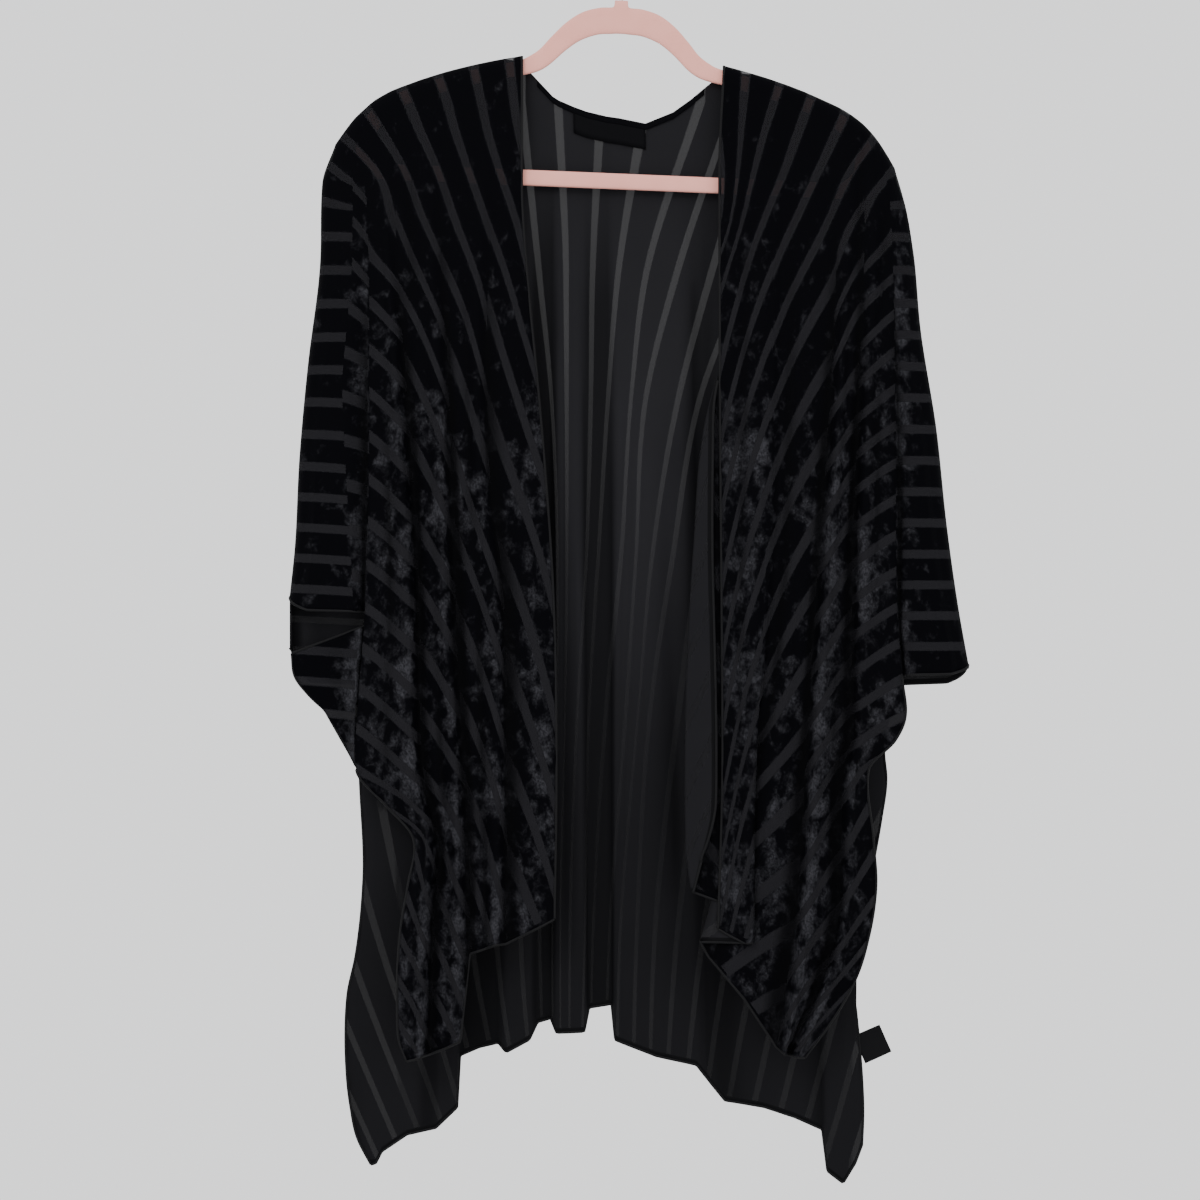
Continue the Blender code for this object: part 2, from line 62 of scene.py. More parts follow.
# Half of the moulding: outer edge (x, z) and inner edge (x, z) of the band, from the top to the bar.
HANGER_BAND = [
    ((0, -69.5), (0, -97)), ((5, -69.5), (3, -97)), ((6.5, -75), (7, -97.3)), ((18, -76.2), (19, -98.5)),
    ((32, -80.5), (33, -104)), ((45, -89.5), (45, -113)), ((57, -102), (57, -124.5)),
    ((66, -112.5), (66, -130.5)), ((75, -119), (75, -133.5)), ((84, -123), (84, -135.4)),
    ((110, -129.2), (110, -141.5)), ((142, -138.2), (142, -150.5)), ((170, -148.6), (168, -160.3)),
    ((190, -158.4), (183, -169.3)), ((202, -167.8), (192, -177.5)), ((210, -178), (197, -185)),
    ((214.5, -189), (199, -191)), ((215.5, -200), (199, -201)), ((213, -212), (196.5, -206)),
    ((205, -221.5), (192, -210.5)), ((190, -226), (185, -213)), ((120, -226), (120, -213)),
    ((0, -226), (0, -213)),
]
HANGER_STEPS = 8
SECTION_POINTS = 28
FLOCK_COLOURS = [(0.74, 0.33, 0.27), (0.80, 0.38, 0.32)]


def smooth_curve(table, q):
    """A smooth line through a table of (key, value, ...) rows, read at the keys q.

    Between two rows it is a cubic whose slope at each row is the mean slope of the two stretches
    beside it, weighted by the other one's length, and no steeper than three times the flatter one.
    """
    rows = np.array(sorted(table), float)
    x, y = rows[:, 0], rows[:, 1:]
    h = np.diff(x)[:, None]
    d = np.diff(y, axis=0) / h
    m = np.vstack([d[:1], (d[:-1] * h[1:] + d[1:] * h[:-1]) / (h[1:] + h[:-1]), d[-1:]])
    cap = 3 * np.minimum(np.abs(np.vstack([d[:1], d])), np.abs(np.vstack([d, d[-1:]])))
    m = np.clip(m, -cap, cap)
    q = np.asarray(q, float)
    k = np.clip(np.searchsorted(x, q) - 1, 0, len(x) - 2)
    step = h[k, 0]
    t = np.clip((q - x[k]) / step, 0, 1)[..., None]
    step = step[..., None]
    out = ((1 + 2 * t) * (1 - t) ** 2 * y[k] + t * (1 - t) ** 2 * step * m[k]
           + t * t * (3 - 2 * t) * y[k + 1] + t * t * (t - 1) * step * m[k + 1])
    return out[..., 0] if out.shape[-1] == 1 else out


def cell_corners(grid):
    """The values at the four corners of each cell of a grid, in the order of the cell's face."""
    return np.stack([grid[:-1, :-1], grid[1:, :-1], grid[1:, 1:], grid[:-1, 1:]], axis=-1)


def add_object(name, data):
    """A new object in the scene."""
    made = bpy.data.objects.new(name, data)
    bpy.context.scene.collection.objects.link(made)
    return made


def grid_piece(name, points, around=False, caps=False, uv=None):
    """A surface through a rows by columns grid of points in millimetres, with faces between them."""
    rows, columns = points.shape[:2]
    index = np.arange(rows * columns).reshape(rows, columns)
    if around:
        index = np.hstack([index, index[:, :1]])
    faces = cell_corners(index).reshape(-1, 4).tolist()
    if caps:
        faces += [index[0, :columns].tolist(), index[-1, :columns][::-1].tolist()]
    mesh = bpy.data.meshes.new(name)
    mesh.from_pydata((points.reshape(-1, 3) * MM).tolist(), [], faces)
    mesh.shade_smooth()
    if uv is not None:
        layer = mesh.uv_layers.new(name="along")
        loops = np.zeros(len(mesh.loops), int)
        mesh.loops.foreach_get("vertex_index", loops)
        layer.data.foreach_set("uv", uv.reshape(-1, 2)[loops].astype(np.float32).ravel())
    return add_object(name, mesh)


def tilted(points):
    """The hanger's upright x, y, z turned about the hook by its tilt."""
    c, s = math.cos(HANGER_TILT), math.sin(HANGER_TILT)
    x, y, z = np.moveaxis(points, -1, 0)
    return np.stack([x * c + z * s, y, z * c - x * s], axis=-1)


def hanger_surface():
    """A rounded rectangle carried round the band: its middle is the mean of the outer and the inner
    edge, its half width is half their difference, and its corners are a superellipse."""
    band = np.array(HANGER_BAND, float)
    keys = np.arange(len(band), dtype=float)
    table = [(k, *o, *i) for k, (o, i) in zip(keys, band)]
    edge = smooth_curve(table, np.linspace(0, keys[-1], HANGER_STEPS * (len(band) - 1) + 1))
    other = edge[-2:0:-1] * [-1, 1, -1, 1]
    loop = np.vstack([edge, other])
    outer, inner = loop[:, None, :2], loop[:, None, 2:]
    a = np.linspace(0, 2 * math.pi, SECTION_POINTS, endpoint=False)[None, :, None]
    across = np.sign(np.cos(a)) * np.abs(np.cos(a)) ** HANGER_SQUARENESS
    through = np.sign(np.sin(a)) * np.abs(np.sin(a)) ** HANGER_SQUARENESS
    flat = (outer + inner) / 2 + (outer - inner) / 2 * across
    depth = np.broadcast_to(through * HANGER_HALF_THICKNESS, flat[..., :1].shape)
    points = np.concatenate([flat[..., :1], depth, flat[..., 1:]], axis=-1)
    return tilted(np.vstack([points, points[:1]]))


class Finish:
    """A Principled material under construction: node makers that link as they go."""

    def __init__(self, name, roughness, **constants):
        self.material = bpy.data.materials.new(name)
        self.material.use_nodes = True
        self.tree = self.material.node_tree
        self.shader = self.tree.nodes["Principled BSDF"]
        self.shader.inputs["Roughness"].default_value = roughness
        for key, value in constants.items():
            self.shader.inputs[key.replace("_", " ")].default_value = value

    def put(self, socket, value):
        """Sets a socket to a number or colour, or links another node's output to it."""
        if isinstance(value, bpy.types.NodeSocket):
            self.tree.links.new(value, socket)
        elif hasattr(value, "__len__") and len(value) == 3 and socket.type == "RGBA":
            socket.default_value = (*value, 1.0)
        else:
            socket.default_value = value

    def coordinates(self, which):
        """Object coordinates or the piece's UV map."""
        node = self.tree.nodes.new("ShaderNodeTexCoord")
        return node.outputs[which]

    def attribute(self, name):
        """A number stored on the piece's points."""
        node = self.tree.nodes.new("ShaderNodeAttribute")
        node.attribute_name = name
        return node.outputs["Fac"]

    def scaled(self, vector, scale):
        """Coordinates stretched by a factor for each axis."""
        node = self.tree.nodes.new("ShaderNodeMapping")
        self.put(node.inputs["Vector"], vector)
        node.inputs["Scale"].default_value = scale
        return node.outputs["Vector"]

    def noise(self, vector, scale, detail, roughness=0.5, distortion=0.0):
        """Soft random values around one half."""
        node = self.tree.nodes.new("ShaderNodeTexNoise")
        self.put(node.inputs["Vector"], vector)
        for key, value in (("Scale", scale), ("Detail", detail), ("Roughness", roughness),
                           ("Distortion", distortion)):
            node.inputs[key].default_value = value
        return node.outputs["Fac"]

    def math(self, kind, a, b=0.0):
        """One arithmetic step on two values."""
        node = self.tree.nodes.new("ShaderNodeMath")
        node.operation = kind
        self.put(node.inputs[0], a)
        self.put(node.inputs[1], b)
        return node.outputs[0]

    def ramp(self, value, low, high, start=0.0, end=1.0):
        """Goes smoothly from start to end while value goes from low to high."""
        node = self.tree.nodes.new("ShaderNodeMapRange")
        node.interpolation_type = "SMOOTHSTEP"
        self.put(node.inputs["Value"], value)
        for key, number in (("From Min", low), ("From Max", high), ("To Min", start), ("To Max", end)):
            self.put(node.inputs[key], number)
        return node.outputs["Result"]

    def mix(self, share, a, b):
        """A mix of two colours."""
        node = self.tree.nodes.new("ShaderNodeMix")
        node.data_type = "RGBA"
        self.put(node.inputs["Factor"], share)
        self.put(node.inputs[6], a)
        self.put(node.inputs[7], b)
        return node.outputs[2]

    def bump(self, height, distance, strength, below=None):
        """A bump of the given height in metres, on top of another one."""
        node = self.tree.nodes.new("ShaderNodeBump")
        self.put(node.inputs["Height"], height)
        node.inputs["Distance"].default_value = distance
        node.inputs["Strength"].default_value = strength
        if below is not None:
            self.put(node.inputs["Normal"], below)
        return node.outputs["Normal"]

    def finish(self, **linked):
        """Links the shader's own sockets and returns the material."""
        for key, value in linked.items():
            self.put(self.shader.inputs[key.replace("_", " ")], value)
        return self.material


def flock():
    """Pale pink flock: a fine dense nap with a soft bloom, a little uneven in tone."""
    made = Finish("pink_flock", 0.92, Sheen_Weight=0.08, Sheen_Roughness=0.5, Specular_IOR_Level=0.1)
    where = made.coordinates("Object")
    tone = made.noise(where, 60.0, 4.0)
    fine = made.noise(where, 2600.0, 2.0)
    colour = made.mix(tone, *FLOCK_COLOURS)
    return made.finish(Base_Color=colour, Normal=made.bump(fine, 0.0003, 0.6))


hanger = grid_piece("hanger_moulding", hanger_surface(), around=True)
hanger.data.materials.append(flock())
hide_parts("hanger_body")
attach(hanger, "root")

# Hanger hook
# A plated steel wire, screwed into the top of the moulding, bent once to the side and then round over
# the rail. Its end is rounded so that it doesn't scratch.
WIRE_RADIUS = 1.6
HOOK_RADIUS = 22.0
# The stem from its foot in the moulding to the bend: (x, z).
HOOK_STEM = [(0, -69.2), (0, -60), (0, -50), (2, -45), (6.5, -41.5)]
HOOK_START_DEG = -48
HOOK_END_DEG = 205
HOOK_CIRCLE_POINTS = 14
HOOK_STEPS = 160
WIRE_SIDES = 20
WIRE_COLOURS = [(0.72, 0.66, 0.62), (0.83, 0.78, 0.75)]
# The rings of the rounded tip, as shares of the wire's radius beyond the last point of the path.
TIP_ROUNDING = [0.35, 0.6, 0.8, 0.92, 1.0]
TIP_RADIUS = 0.02


def tube(path, radius, sides):
    """A round section carried along a path in the hanger's plane, with a radius for each point.

    A section's two axes are the path's left-hand side and Y."""
    step = np.gradient(path, axis=0)
    step /= np.linalg.norm(step, axis=1, keepdims=True)
    left = np.stack([-step[:, 2], np.zeros(len(step)), step[:, 0]], axis=1)
    a = np.linspace(0, 2 * math.pi, sides, endpoint=False)
    ring = left[:, None] * np.cos(a)[None, :, None] + np.array([0, 1.0, 0]) * np.sin(a)[None, :, None]
    return path[:, None] + ring * radius[:, None, None]


def hook_path():
    """A straight stem, a bend to the side and an open circle whose inside top is the origin."""
    centre = WIRE_RADIUS - HOOK_RADIUS
    a = np.radians(np.linspace(HOOK_START_DEG, HOOK_END_DEG, HOOK_CIRCLE_POINTS))
    circle = np.stack([HOOK_RADIUS * np.cos(a), centre + HOOK_RADIUS * np.sin(a)], axis=1)
    points = np.vstack([HOOK_STEM, circle])
    keys = np.arange(len(points), dtype=float)
    flat = smooth_curve(np.column_stack([keys, points]).tolist(), np.linspace(0, keys[-1], HOOK_STEPS))
    return np.stack([flat[:, 0], np.zeros(len(flat)), flat[:, 1]], axis=1)


def wire():
    """Polished plated steel with faint drawing marks."""
    made = Finish("hook_steel", 0.22, Metallic=1.0)
    marks = made.noise(made.coordinates("Object"), 900.0, 2.0)
    colour = made.mix(marks, *WIRE_COLOURS)
    return made.finish(Base_Color=colour, Normal=made.bump(marks, 0.00004, 0.4))


path = hook_path()
rounding = np.array(TIP_ROUNDING)
tip = path[-1] + (path[-1] - path[-2]) / np.linalg.norm(path[-1] - path[-2]) \
    * rounding[:, None] * WIRE_RADIUS
radius = np.concatenate([np.full(len(path), WIRE_RADIUS),
                         WIRE_RADIUS * np.sqrt(1 - rounding ** 2) + TIP_RADIUS])
hook = grid_piece("hook_wire", tilted(tube(np.vstack([path, tip]), radius, WIRE_SIDES)),
                  around=True, caps=True)
hook.data.materials.append(wire())
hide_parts("hanger_hook")
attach(hook, "root")

# Fronts
# Each front is cut in one with its sleeve from striped burnout velvet: near-black pile bands with bare
# sheer stripes between them. It hangs from the shoulder fold, its stripes square to that fold, and
# falls in upright folds, so that the stripes bend down and jump where a fold hides cloth.
CLOTH = 0.7
SEAM_HALF_GAP = 0.03
FAR = 99.0
SIDE = {"wearer_right": -1, "wearer_left": 1}
# The fold between front and back along the hanger's arm: (x, z) in the hanger's frame.
SHOULDER = [
    (85.5, -119.8), (112, -126), (142.5, -134.8), (170, -145), (191, -154.5), (205, -164.2),
    (216, -175.5), (225, -188), (232, -199),
]
# The same fold from the end of the arm down to the cuff: (distance from the middle, z).
SLEEVE_FOLD = {
    "wearer_right": [
        (251, -221.5), (253, -291), (263, -373), (270, -450), (274, -526), (278, -564),
    ],
    "wearer_left": [
        (232.4, -240), (239, -278), (245, -342), (258, -424), (267, -507), (277, -577), (284.7, -620),
    ],
}
OUTLINE_POINTS = (90, 120)
# Fold lines from the opening to the side: name, how far the fold stands out, the hem's height just
# inside and just outside the line, and the line as (z, distance from the middle).
FRONT_FOLDS = {
    "wearer_right": [
        ("edge", 5, -828, -828, [
            (-116, 85.5), (-215, 85.5), (-318, 79), (-384, 72.5), (-459, 66), (-545, 60), (-704, 56.5),
            (-828, 58)]),
        ("inner", 7, -849, -849, [
            (-120, 104), (-250, 114), (-384, 117), (-480, 113), (-543, 105), (-700, 100), (-849, 101)]),
        ("middle", 10, -857, -927, [
            (-127, 148), (-236, 156), (-384, 149), (-558, 143), (-650, 139), (-733, 133), (-927, 130)]),
        ("outer", 10, -939, -940, [
            (-143, 190), (-270, 192), (-384, 184), (-543, 174), (-708, 169), (-762, 157), (-831, 160),
            (-940, 163)]),
        ("side", 0, -945, -945, [
            (-168, 224), (-215, 215), (-384, 211), (-577, 214), (-645, 219), (-706, 221), (-735, 197),
            (-762, 174), (-800, 178), (-831, 183.5), (-899, 187), (-925, 186), (-945, 179)]),
    ],
    "wearer_left": [
        ("edge", 9, -836, -836, [(-125, 82), (-215, 78), (-384, 78), (-570, 79), (-706, 79.5), (-836, 76)]),
        ("pleat", 11, -847, -847, [
            (-130, 116), (-215, 122), (-384, 120), (-570, 114), (-706, 107), (-762, 105.5), (-847, 105.5)]),
        ("under", 0, -847, -852, [
            (-136, 124), (-215, 130), (-384, 128), (-570, 122), (-640, 114), (-706, 97), (-762, 84),
            (-831, 66), (-852, 60)]),
        ("middle", 10, -933, -938, [
            (-160, 172), (-215, 177), (-384, 173), (-570, 159.5), (-706, 151), (-831, 142), (-938, 126)]),
        ("outer", 9, -939, -940, [
            (-185, 200), (-257, 201), (-384, 196), (-570, 189.5), (-676, 189), (-706, 182), (-831, 176),
            (-890, 158), (-940, 135)]),
        ("side", 0, -942, -942, [
            (-190, 210), (-240, 219), (-384, 222.5), (-570, 223.5), (-629, 227.5), (-665, 230),
            (-682, 222), (-706, 200), (-762, 203.5), (-800, 206), (-842, 200), (-875, 190), (-914, 168),
            (-942, 147)]),
    ],
}
# A fold's columns beside its line, as (offset, share of its height), and the share between two folds.
FOLD_PROFILE = [(-3.0, 0.0), (5.0, 1.0)]
BETWEEN_SHARE = 0.45
# The roll of the opening's edge, the lip of the pleat and the cloth under it.
EDGE_SHARE, EDGE_WIDTH, EDGE_RISE = 0.7, 11.0, 6
PLEAT_SHARE, PLEAT_WIDTH = 0.75, 7.0
UNDER_HEIGHTS, UNDER_WIDTH, UNDER_RISE = (2.5, 3.0), 8.0, 7
SLEEVE_RIDGE = [(-200, 0.5), (-384, 0.6), (-600, 0.15)]
SLEEVE_RIDGE_HEIGHT = 6.0
RIDGE_LOSS = 0.3
TURN_STEPS = [16.0, 13.0, 10.5, 8.0, 6.0, 4.4, 3.1, 2.0, 1.2, 0.6, 0.2, 0.0]
TURN_RADIUS = 11.0
SLEEVE_WIDE = 28.0
TOP_PITCH = 0.4
TOP_BLEND = 30.0
FRONT_CUFF = {"wearer_right": (-577, -564), "wearer_left": (-629, -620)}
SLIT = 11.0
LOBE_BOTTOM_AT_SIDE = -706
LOBE_EDGE = [(276.5, -611), (274, -630), (262, -646), (249, -658)]
SLEEVE_DEPTH = 11.0
LOBE_DEPTH = 0.8
FULL_CREST = 10
FRONT_DEPTH = [(-1060, 30), (-800, 25), (-560, 18), (-384, 13), (-230, 9), (-110, 6)]
FOLDS_BEGIN = -150
FOLDS_FULL = -520
TOP_STEPS = [0.0, 0.3, 0.8, 1.6, 2.6, 4.0, 5.6, 7.4, 9.4, 11.6, 14.2, 17.2, 22.0]
ROWS_TO_CUFF = 130
ROWS_TO_LOBE = 26
ROWS_TO_HEM = 84
CUFF_ROW = len(TOP_STEPS) - 1 + ROWS_TO_CUFF
LOBE_ROW = CUFF_ROW + 1 + ROWS_TO_LOBE
COLUMN_WIDTH = 2.6
HEM_WIDTH = 3.4
# Heights between which the cloth under the pleat comes out from behind it.
PLEAT_OPENS = (-640, -706)
# How much flatter a stripe runs on the crest of a fold than halfway into the valley.
STRIPE_BEND = 0.25
STRIPE_NUMBERS = (-8, 25)
# The stripes as they cross the fold lines. A stretch lies between two lines, and its two lists give
# where numbered stripes cross its outer and its inner line: (number, z).
STRIPES = {
    "wearer_right": [
        ("fold", "ridge",
         [(0, -210), (5, -350), (9, -456), (13, -557), (16, -633)],
         [(0, -212), (5, -350), (9, -459), (13, -560), (16, -637)]),
        ("ridge", "side",
         [(-1, -183), (2, -289), (6, -435), (8, -509)],
         [(-1, -200), (2, -305), (6, -441), (8, -514)]),
        ("side", "outer",
         [(-2, -153), (-1, -202), (0, -241), (3, -360), (6, -467), (9, -573), (13, -705), (15, -774)],
         [(-2, -178), (-1, -216), (1, -305), (3, -387), (6, -499), (9, -607), (13, -752), (15, -820)]),
        ("outer", "middle",
         [(-3, -112), (-2, -181), (-1, -242), (1, -362), (3, -500), (5, -600), (8, -759), (10, -841)],
         [(-3, -214), (-2, -269), (-1, -340), (1, -448), (3, -554), (5, -654), (8, -820), (10, -903)]),
        ("middle", "inner",
         [(-4, -135), (-3, -202), (-1, -351), (0, -428), (2, -569), (4, -716), (6, -849)],
         [(-4, -245), (-3, -322), (-1, -446), (0, -558), (2, -683), (4, -816), (6, -940)]),
        ("inner", "edge",
         [(0, -144), (1, -217), (2, -310), (3, -395), (4, -521), (5, -612), (6, -694), (7, -770)],
         [(0, -293), (2, -476), (4, -671), (6, -807), (7, -866)]),
    ],
    "wearer_left": [
        ("fold", "side",
         [(0, -212), (4, -322), (8, -426), (12, -529), (15, -605)],
         [(0, -212), (4, -322), (8, -426), (12, -529), (15, -605)]),
        ("side", "outer",
         [(0, -210), (4, -331), (8, -454), (12, -573), (15, -661), (18, -774)],
         [(0, -225), (4, -355), (8, -475), (12, -595), (15, -685), (18, -816)]),
        ("outer", "middle",
         [(-1, -183), (1, -258), (3, -373), (6, -495), (9, -612), (12, -729), (15, -862), (17, -940)],
         [(-1, -226), (1, -324), (3, -411), (6, -539), (9, -663), (12, -784), (15, -912), (17, -998)]),
        ("middle", "under",
         [(-4, -95), (-3, -161), (-1, -297), (2, -492), (4, -610), (7, -781), (9, -886), (10, -940)],
         [(-4, -236), (-3, -295), (-1, -411), (2, -593), (4, -693), (7, -844), (9, -936), (10, -986)]),
        ("pleat", "edge",
         [(-4, -165), (-3, -231), (0, -409), (3, -600), (6, -763), (8, -874), (9, -932)],
         [(-4, -310), (-3, -378), (0, -558), (3, -733), (6, -890), (8, -990), (9, -1040)]),
    ],
}
# Where the stripes run at the shoulders, before the folds begin: for each height, distance from the
# middle of the stripes -1 to 5.
FIRST_SHOULDER_STRIPE = -1
SHOULDER_STRIPES = {
    "wearer_right": [
        (-120, 96, 126.5, 160, 196, 238, 290, 345), (-150, 92.5, 120, 148.5, 181.5, 221, 264, 310),
        (-180, 88, 113.5, 140, 169, 201, 236, 277), (-210, 81, 104.2, 130, 155.5, 183.8, 207, 241),
        (-250, 71, 91, 116, 141.5, 168, 190, 213), (-300, 58, 77, 100, 125, 147, 172, 193),
        (-345, 47, 66, 85, 110.5, 132, 158, 180),
    ],
    "wearer_left": [
        (-120, 101, 134, 166, 202, 246, 296, 350), (-150, 98.3, 124.6, 154, 188.5, 225, 268, 315),
        (-180, 96, 114.7, 143, 174.8, 209, 245, 285), (-210, 93.5, 106.4, 132.3, 161, 187.5, 223, 258),
        (-250, 88, 97, 115.4, 142.3, 170, 190, 222), (-300, 76, 84, 97, 119.8, 146.7, 171.5, 196),
        (-345, 64, 74, 87, 101.8, 126, 152.5, 176),
    ],
}
# Heights between which each stretch leaves that fan for its own stripes, by its outer line.
FAN_ENDS = {"fold": (-200, -255), "ridge": (-200, -255), "side": (-225, -290)}
FAN_ENDS_INSIDE = (-245, -340)


def read_line(table, q):
    """A line of (key, value) rows, straight between its rows, read at the keys q."""
    rows = np.array(sorted(table), float)
    return np.interp(q, rows[:, 0], rows[:, 1])


def fold_outline(side):
    """The outer fold of one side from the neck to the cuff as (x, z), on a smooth line."""
    sign = SIDE[side]
    c, s = math.cos(HANGER_TILT), math.sin(HANGER_TILT)
    shoulder = [(sign * x * c + z * s, z * c - sign * x * s) for x, z in SHOULDER]
    sleeve = [(sign * x, z) for x, z in SLEEVE_FOLD[side]]
    return np.array(shoulder + sleeve)


def fold_distance(side, z):
    """Distance of the sleeve's fold from the middle, at heights below the end of the shoulder."""
    outline = fold_outline(side)[len(SHOULDER) - 1:]
    return smooth_curve([(b, abs(a)) for a, b in outline], z)


def shoulder_height(side, distance):
    """Height of the shoulder at distances from the middle."""
    outline = fold_outline(side)[:len(SHOULDER)]
    return smooth_curve([(abs(a), b) for a, b in outline], distance)


def fine_outline(side):
    """The outer fold as a closely spaced line of points."""
    outline = fold_outline(side)
    corner = len(SHOULDER) - 1
    across = np.linspace(abs(outline[0, 0]), abs(outline[corner, 0]), OUTLINE_POINTS[0])
    down = np.linspace(outline[corner, 1], outline[-1, 1], OUTLINE_POINTS[1])[1:]
    x = np.concatenate([across, fold_distance(side, down)]) * SIDE[side]
    z = np.concatenate([shoulder_height(side, across), down])
    return np.stack([x, z], axis=1)


def distance_to(outline, x, z):
    """Distance from each point to the nearest stretch of a line."""
    best = np.full(x.shape, np.inf)
    for a, b in zip(outline[:-1], outline[1:]):
        d = b - a
        t = np.clip(((x - a[0]) * d[0] + (z - a[1]) * d[1]) / (d @ d), 0, 1)
        best = np.minimum(best, np.hypot(x - a[0] - t * d[0], z - a[1] - t * d[1]))
    return best


def turned(distance):
    """Share of its full depth that cloth has at a distance from the outer fold: a quarter circle."""
    q = np.clip(distance / TURN_RADIUS, 0, 1)
    return np.sqrt(1 - (1 - q) ** 2)


def ease(t):
    """A share from nought to one that starts and ends level."""
    t = np.clip(t, 0, 1)
    return t * t * (3 - 2 * t)


def folds_share(z):
    """Share of a fold's full height: none at the shoulder, all of it from chest height down."""
    return ease((FOLDS_BEGIN - z) / (FOLDS_BEGIN - FOLDS_FULL))


def row_heights(top, cuff, slit, lobe, hem):
    """Heights of all rows of the side line, from the shoulder to the hem."""
    upper = np.linspace(top - TOP_STEPS[-1], cuff, ROWS_TO_CUFF + 1)[1:]
    lower = np.linspace(cuff - slit, lobe, ROWS_TO_LOBE + 1)
    last = np.linspace(lobe, hem, ROWS_TO_HEM + 1)[1:]
    return np.concatenate([top - np.array(TOP_STEPS), upper, lower, last])


def share_down(heights):
    """Row heights as shares of the way from the last of the top steps to the hem."""
    start = heights[len(TOP_STEPS) - 1]
    return np.clip((start - heights) / (start - heights[-1]), 0, 1)


def column_heights(top, hem, share):
    """Heights of a column's rows between its own top and hem."""
    steps = np.array(TOP_STEPS + [TOP_STEPS[-1]] * (len(share) - len(TOP_STEPS)))
    return top - steps - share * (top - TOP_STEPS[-1] - hem)


def front_columns(side):
    """The front's fold columns from the opening to the side, as (mark, line, offset, height, hem).

    A mark names the column at which one stretch of stripes ends and the next one begins. Beside each
    fold's own columns stands one halfway to the next fold, where the cloth lies lower. The pleat hides
    the cloth under it, whose columns therefore start deep behind it."""
    folds = FRONT_FOLDS[side]
    _, height, hem, _, line = folds[0]
    columns = [("edge", line, 0.0, height * EDGE_SHARE, hem),
               ("", line, EDGE_WIDTH, height, hem - EDGE_RISE)]
    for k, (name, height, hem_in, hem_out, line) in enumerate(folds[1:-1], 1):
        if name == "pleat":
            columns += [("", line, -PLEAT_WIDTH, height, hem_in),
                        (name, line, 0.0, height * PLEAT_SHARE, hem_in)]
        elif name == "under":
            columns += [(name, line, 0.0, UNDER_HEIGHTS[0], hem_in),
                        ("", line, UNDER_WIDTH, 0.0, hem_out - UNDER_RISE)]
            between = [line, folds[k + 1][4]]
            columns.append(("", between, 0.0, UNDER_HEIGHTS[1], (hem_out + folds[k + 1][2]) / 2))
        else:
            for (offset, share), mark in zip(FOLD_PROFILE, (name, "")):
                columns.append((mark, line, offset, share * height, hem_in if offset < 0 else hem_out))
            between = [line, folds[k + 1][4]]
            columns.append(("", between, 0.0, BETWEEN_SHARE * height, (hem_out + folds[k + 1][2]) / 2))
    columns.append(("side", folds[-1][4], 0.0, 0.0, folds[-1][2]))
    return columns


def column_distance(line, offset, z):
    """Distance of a column from the middle: beside its line, or halfway between two lines."""
    if isinstance(line[0], list):
        return (smooth_curve(line[0], z) + smooth_curve(line[1], z)) / 2
    return smooth_curve(line, z) + offset


def sleeve_columns(side, line, cuff, upper):
    """The sleeve's columns from the side line out, as (heights, distances).

    The first is the sleeve's ridge, and the rest follow the outer fold at the turning steps. The cuff is
    given by its heights at the side line and at the fold, and upper is the rows' shares down to it."""
    corner = abs(fold_outline(side)[len(SHOULDER) - 1][0])
    steps = [None] + TURN_STEPS
    made = []
    for k, step in enumerate(steps):
        near = corner - (step or 0) * TOP_PITCH
        middle = (line[0][1] + corner - TURN_STEPS[0] * TOP_PITCH) / 2
        first = middle if step is None else near
        hem = cuff[0] + (k + 1) / len(steps) * (cuff[1] - cuff[0])
        rows = column_heights(shoulder_height(side, first), hem, upper)
        inner, outer = smooth_curve(line, rows), fold_distance(side, rows)
        pitch = np.clip((outer - inner) / SLEEVE_WIDE, 0.2, 1.0)
        away = outer - (step or 0) * pitch
        if step is None:
            away = inner + read_line(SLEEVE_RIDGE, rows) * (outer - TURN_STEPS[0] * pitch - inner)
        if step != 0.0:
            blend = np.clip((rows[0] - rows) / TOP_BLEND, 0, 1)
            away = first * (1 - blend) + away * blend
        made.append((rows, away))
    return made


def refine(arrays, breaks, width):
    """Adds columns so that none is wider than the given width on average.

    The first array is the distance from the middle. Heights and distances go straight from one column
    to the next, and the last array, the swell, goes in a soft wave. Returns the arrays and where the
    columns of breaks have gone."""
    widths = np.abs(np.diff(arrays[0], axis=1)).mean(axis=0)
    parts = np.maximum(1, np.ceil(widths / width).astype(int))
    start = np.concatenate([[0], np.cumsum(parts)])
    out = []
    for k, a in enumerate(arrays):
        fine = np.empty((a.shape[0], start[-1] + 1))
        for j, n in enumerate(parts):
            t = np.arange(n) / n
            if k == len(arrays) - 1:
                t = ease(t)
            fine[:, start[j]:start[j + 1]] = a[:, j:j + 1] * (1 - t) + a[:, j + 1:j + 2] * t
        fine[:, -1] = a[:, -1]
        out.append(fine)
    return out, {name: start[j] for name, j in breaks.items()}


def number_between(first, places, x):
    """Number at points x among the rising places of the stripes first, first + 1 and so on."""
    k = np.clip((places < x[..., None]).sum(axis=-1) - 1, 0, places.shape[-1] - 2)
    low = np.take_along_axis(places, k[..., None], -1)[..., 0]
    high = np.take_along_axis(places, k[..., None] + 1, -1)[..., 0]
    return first + k + (x - low) / (high - low)


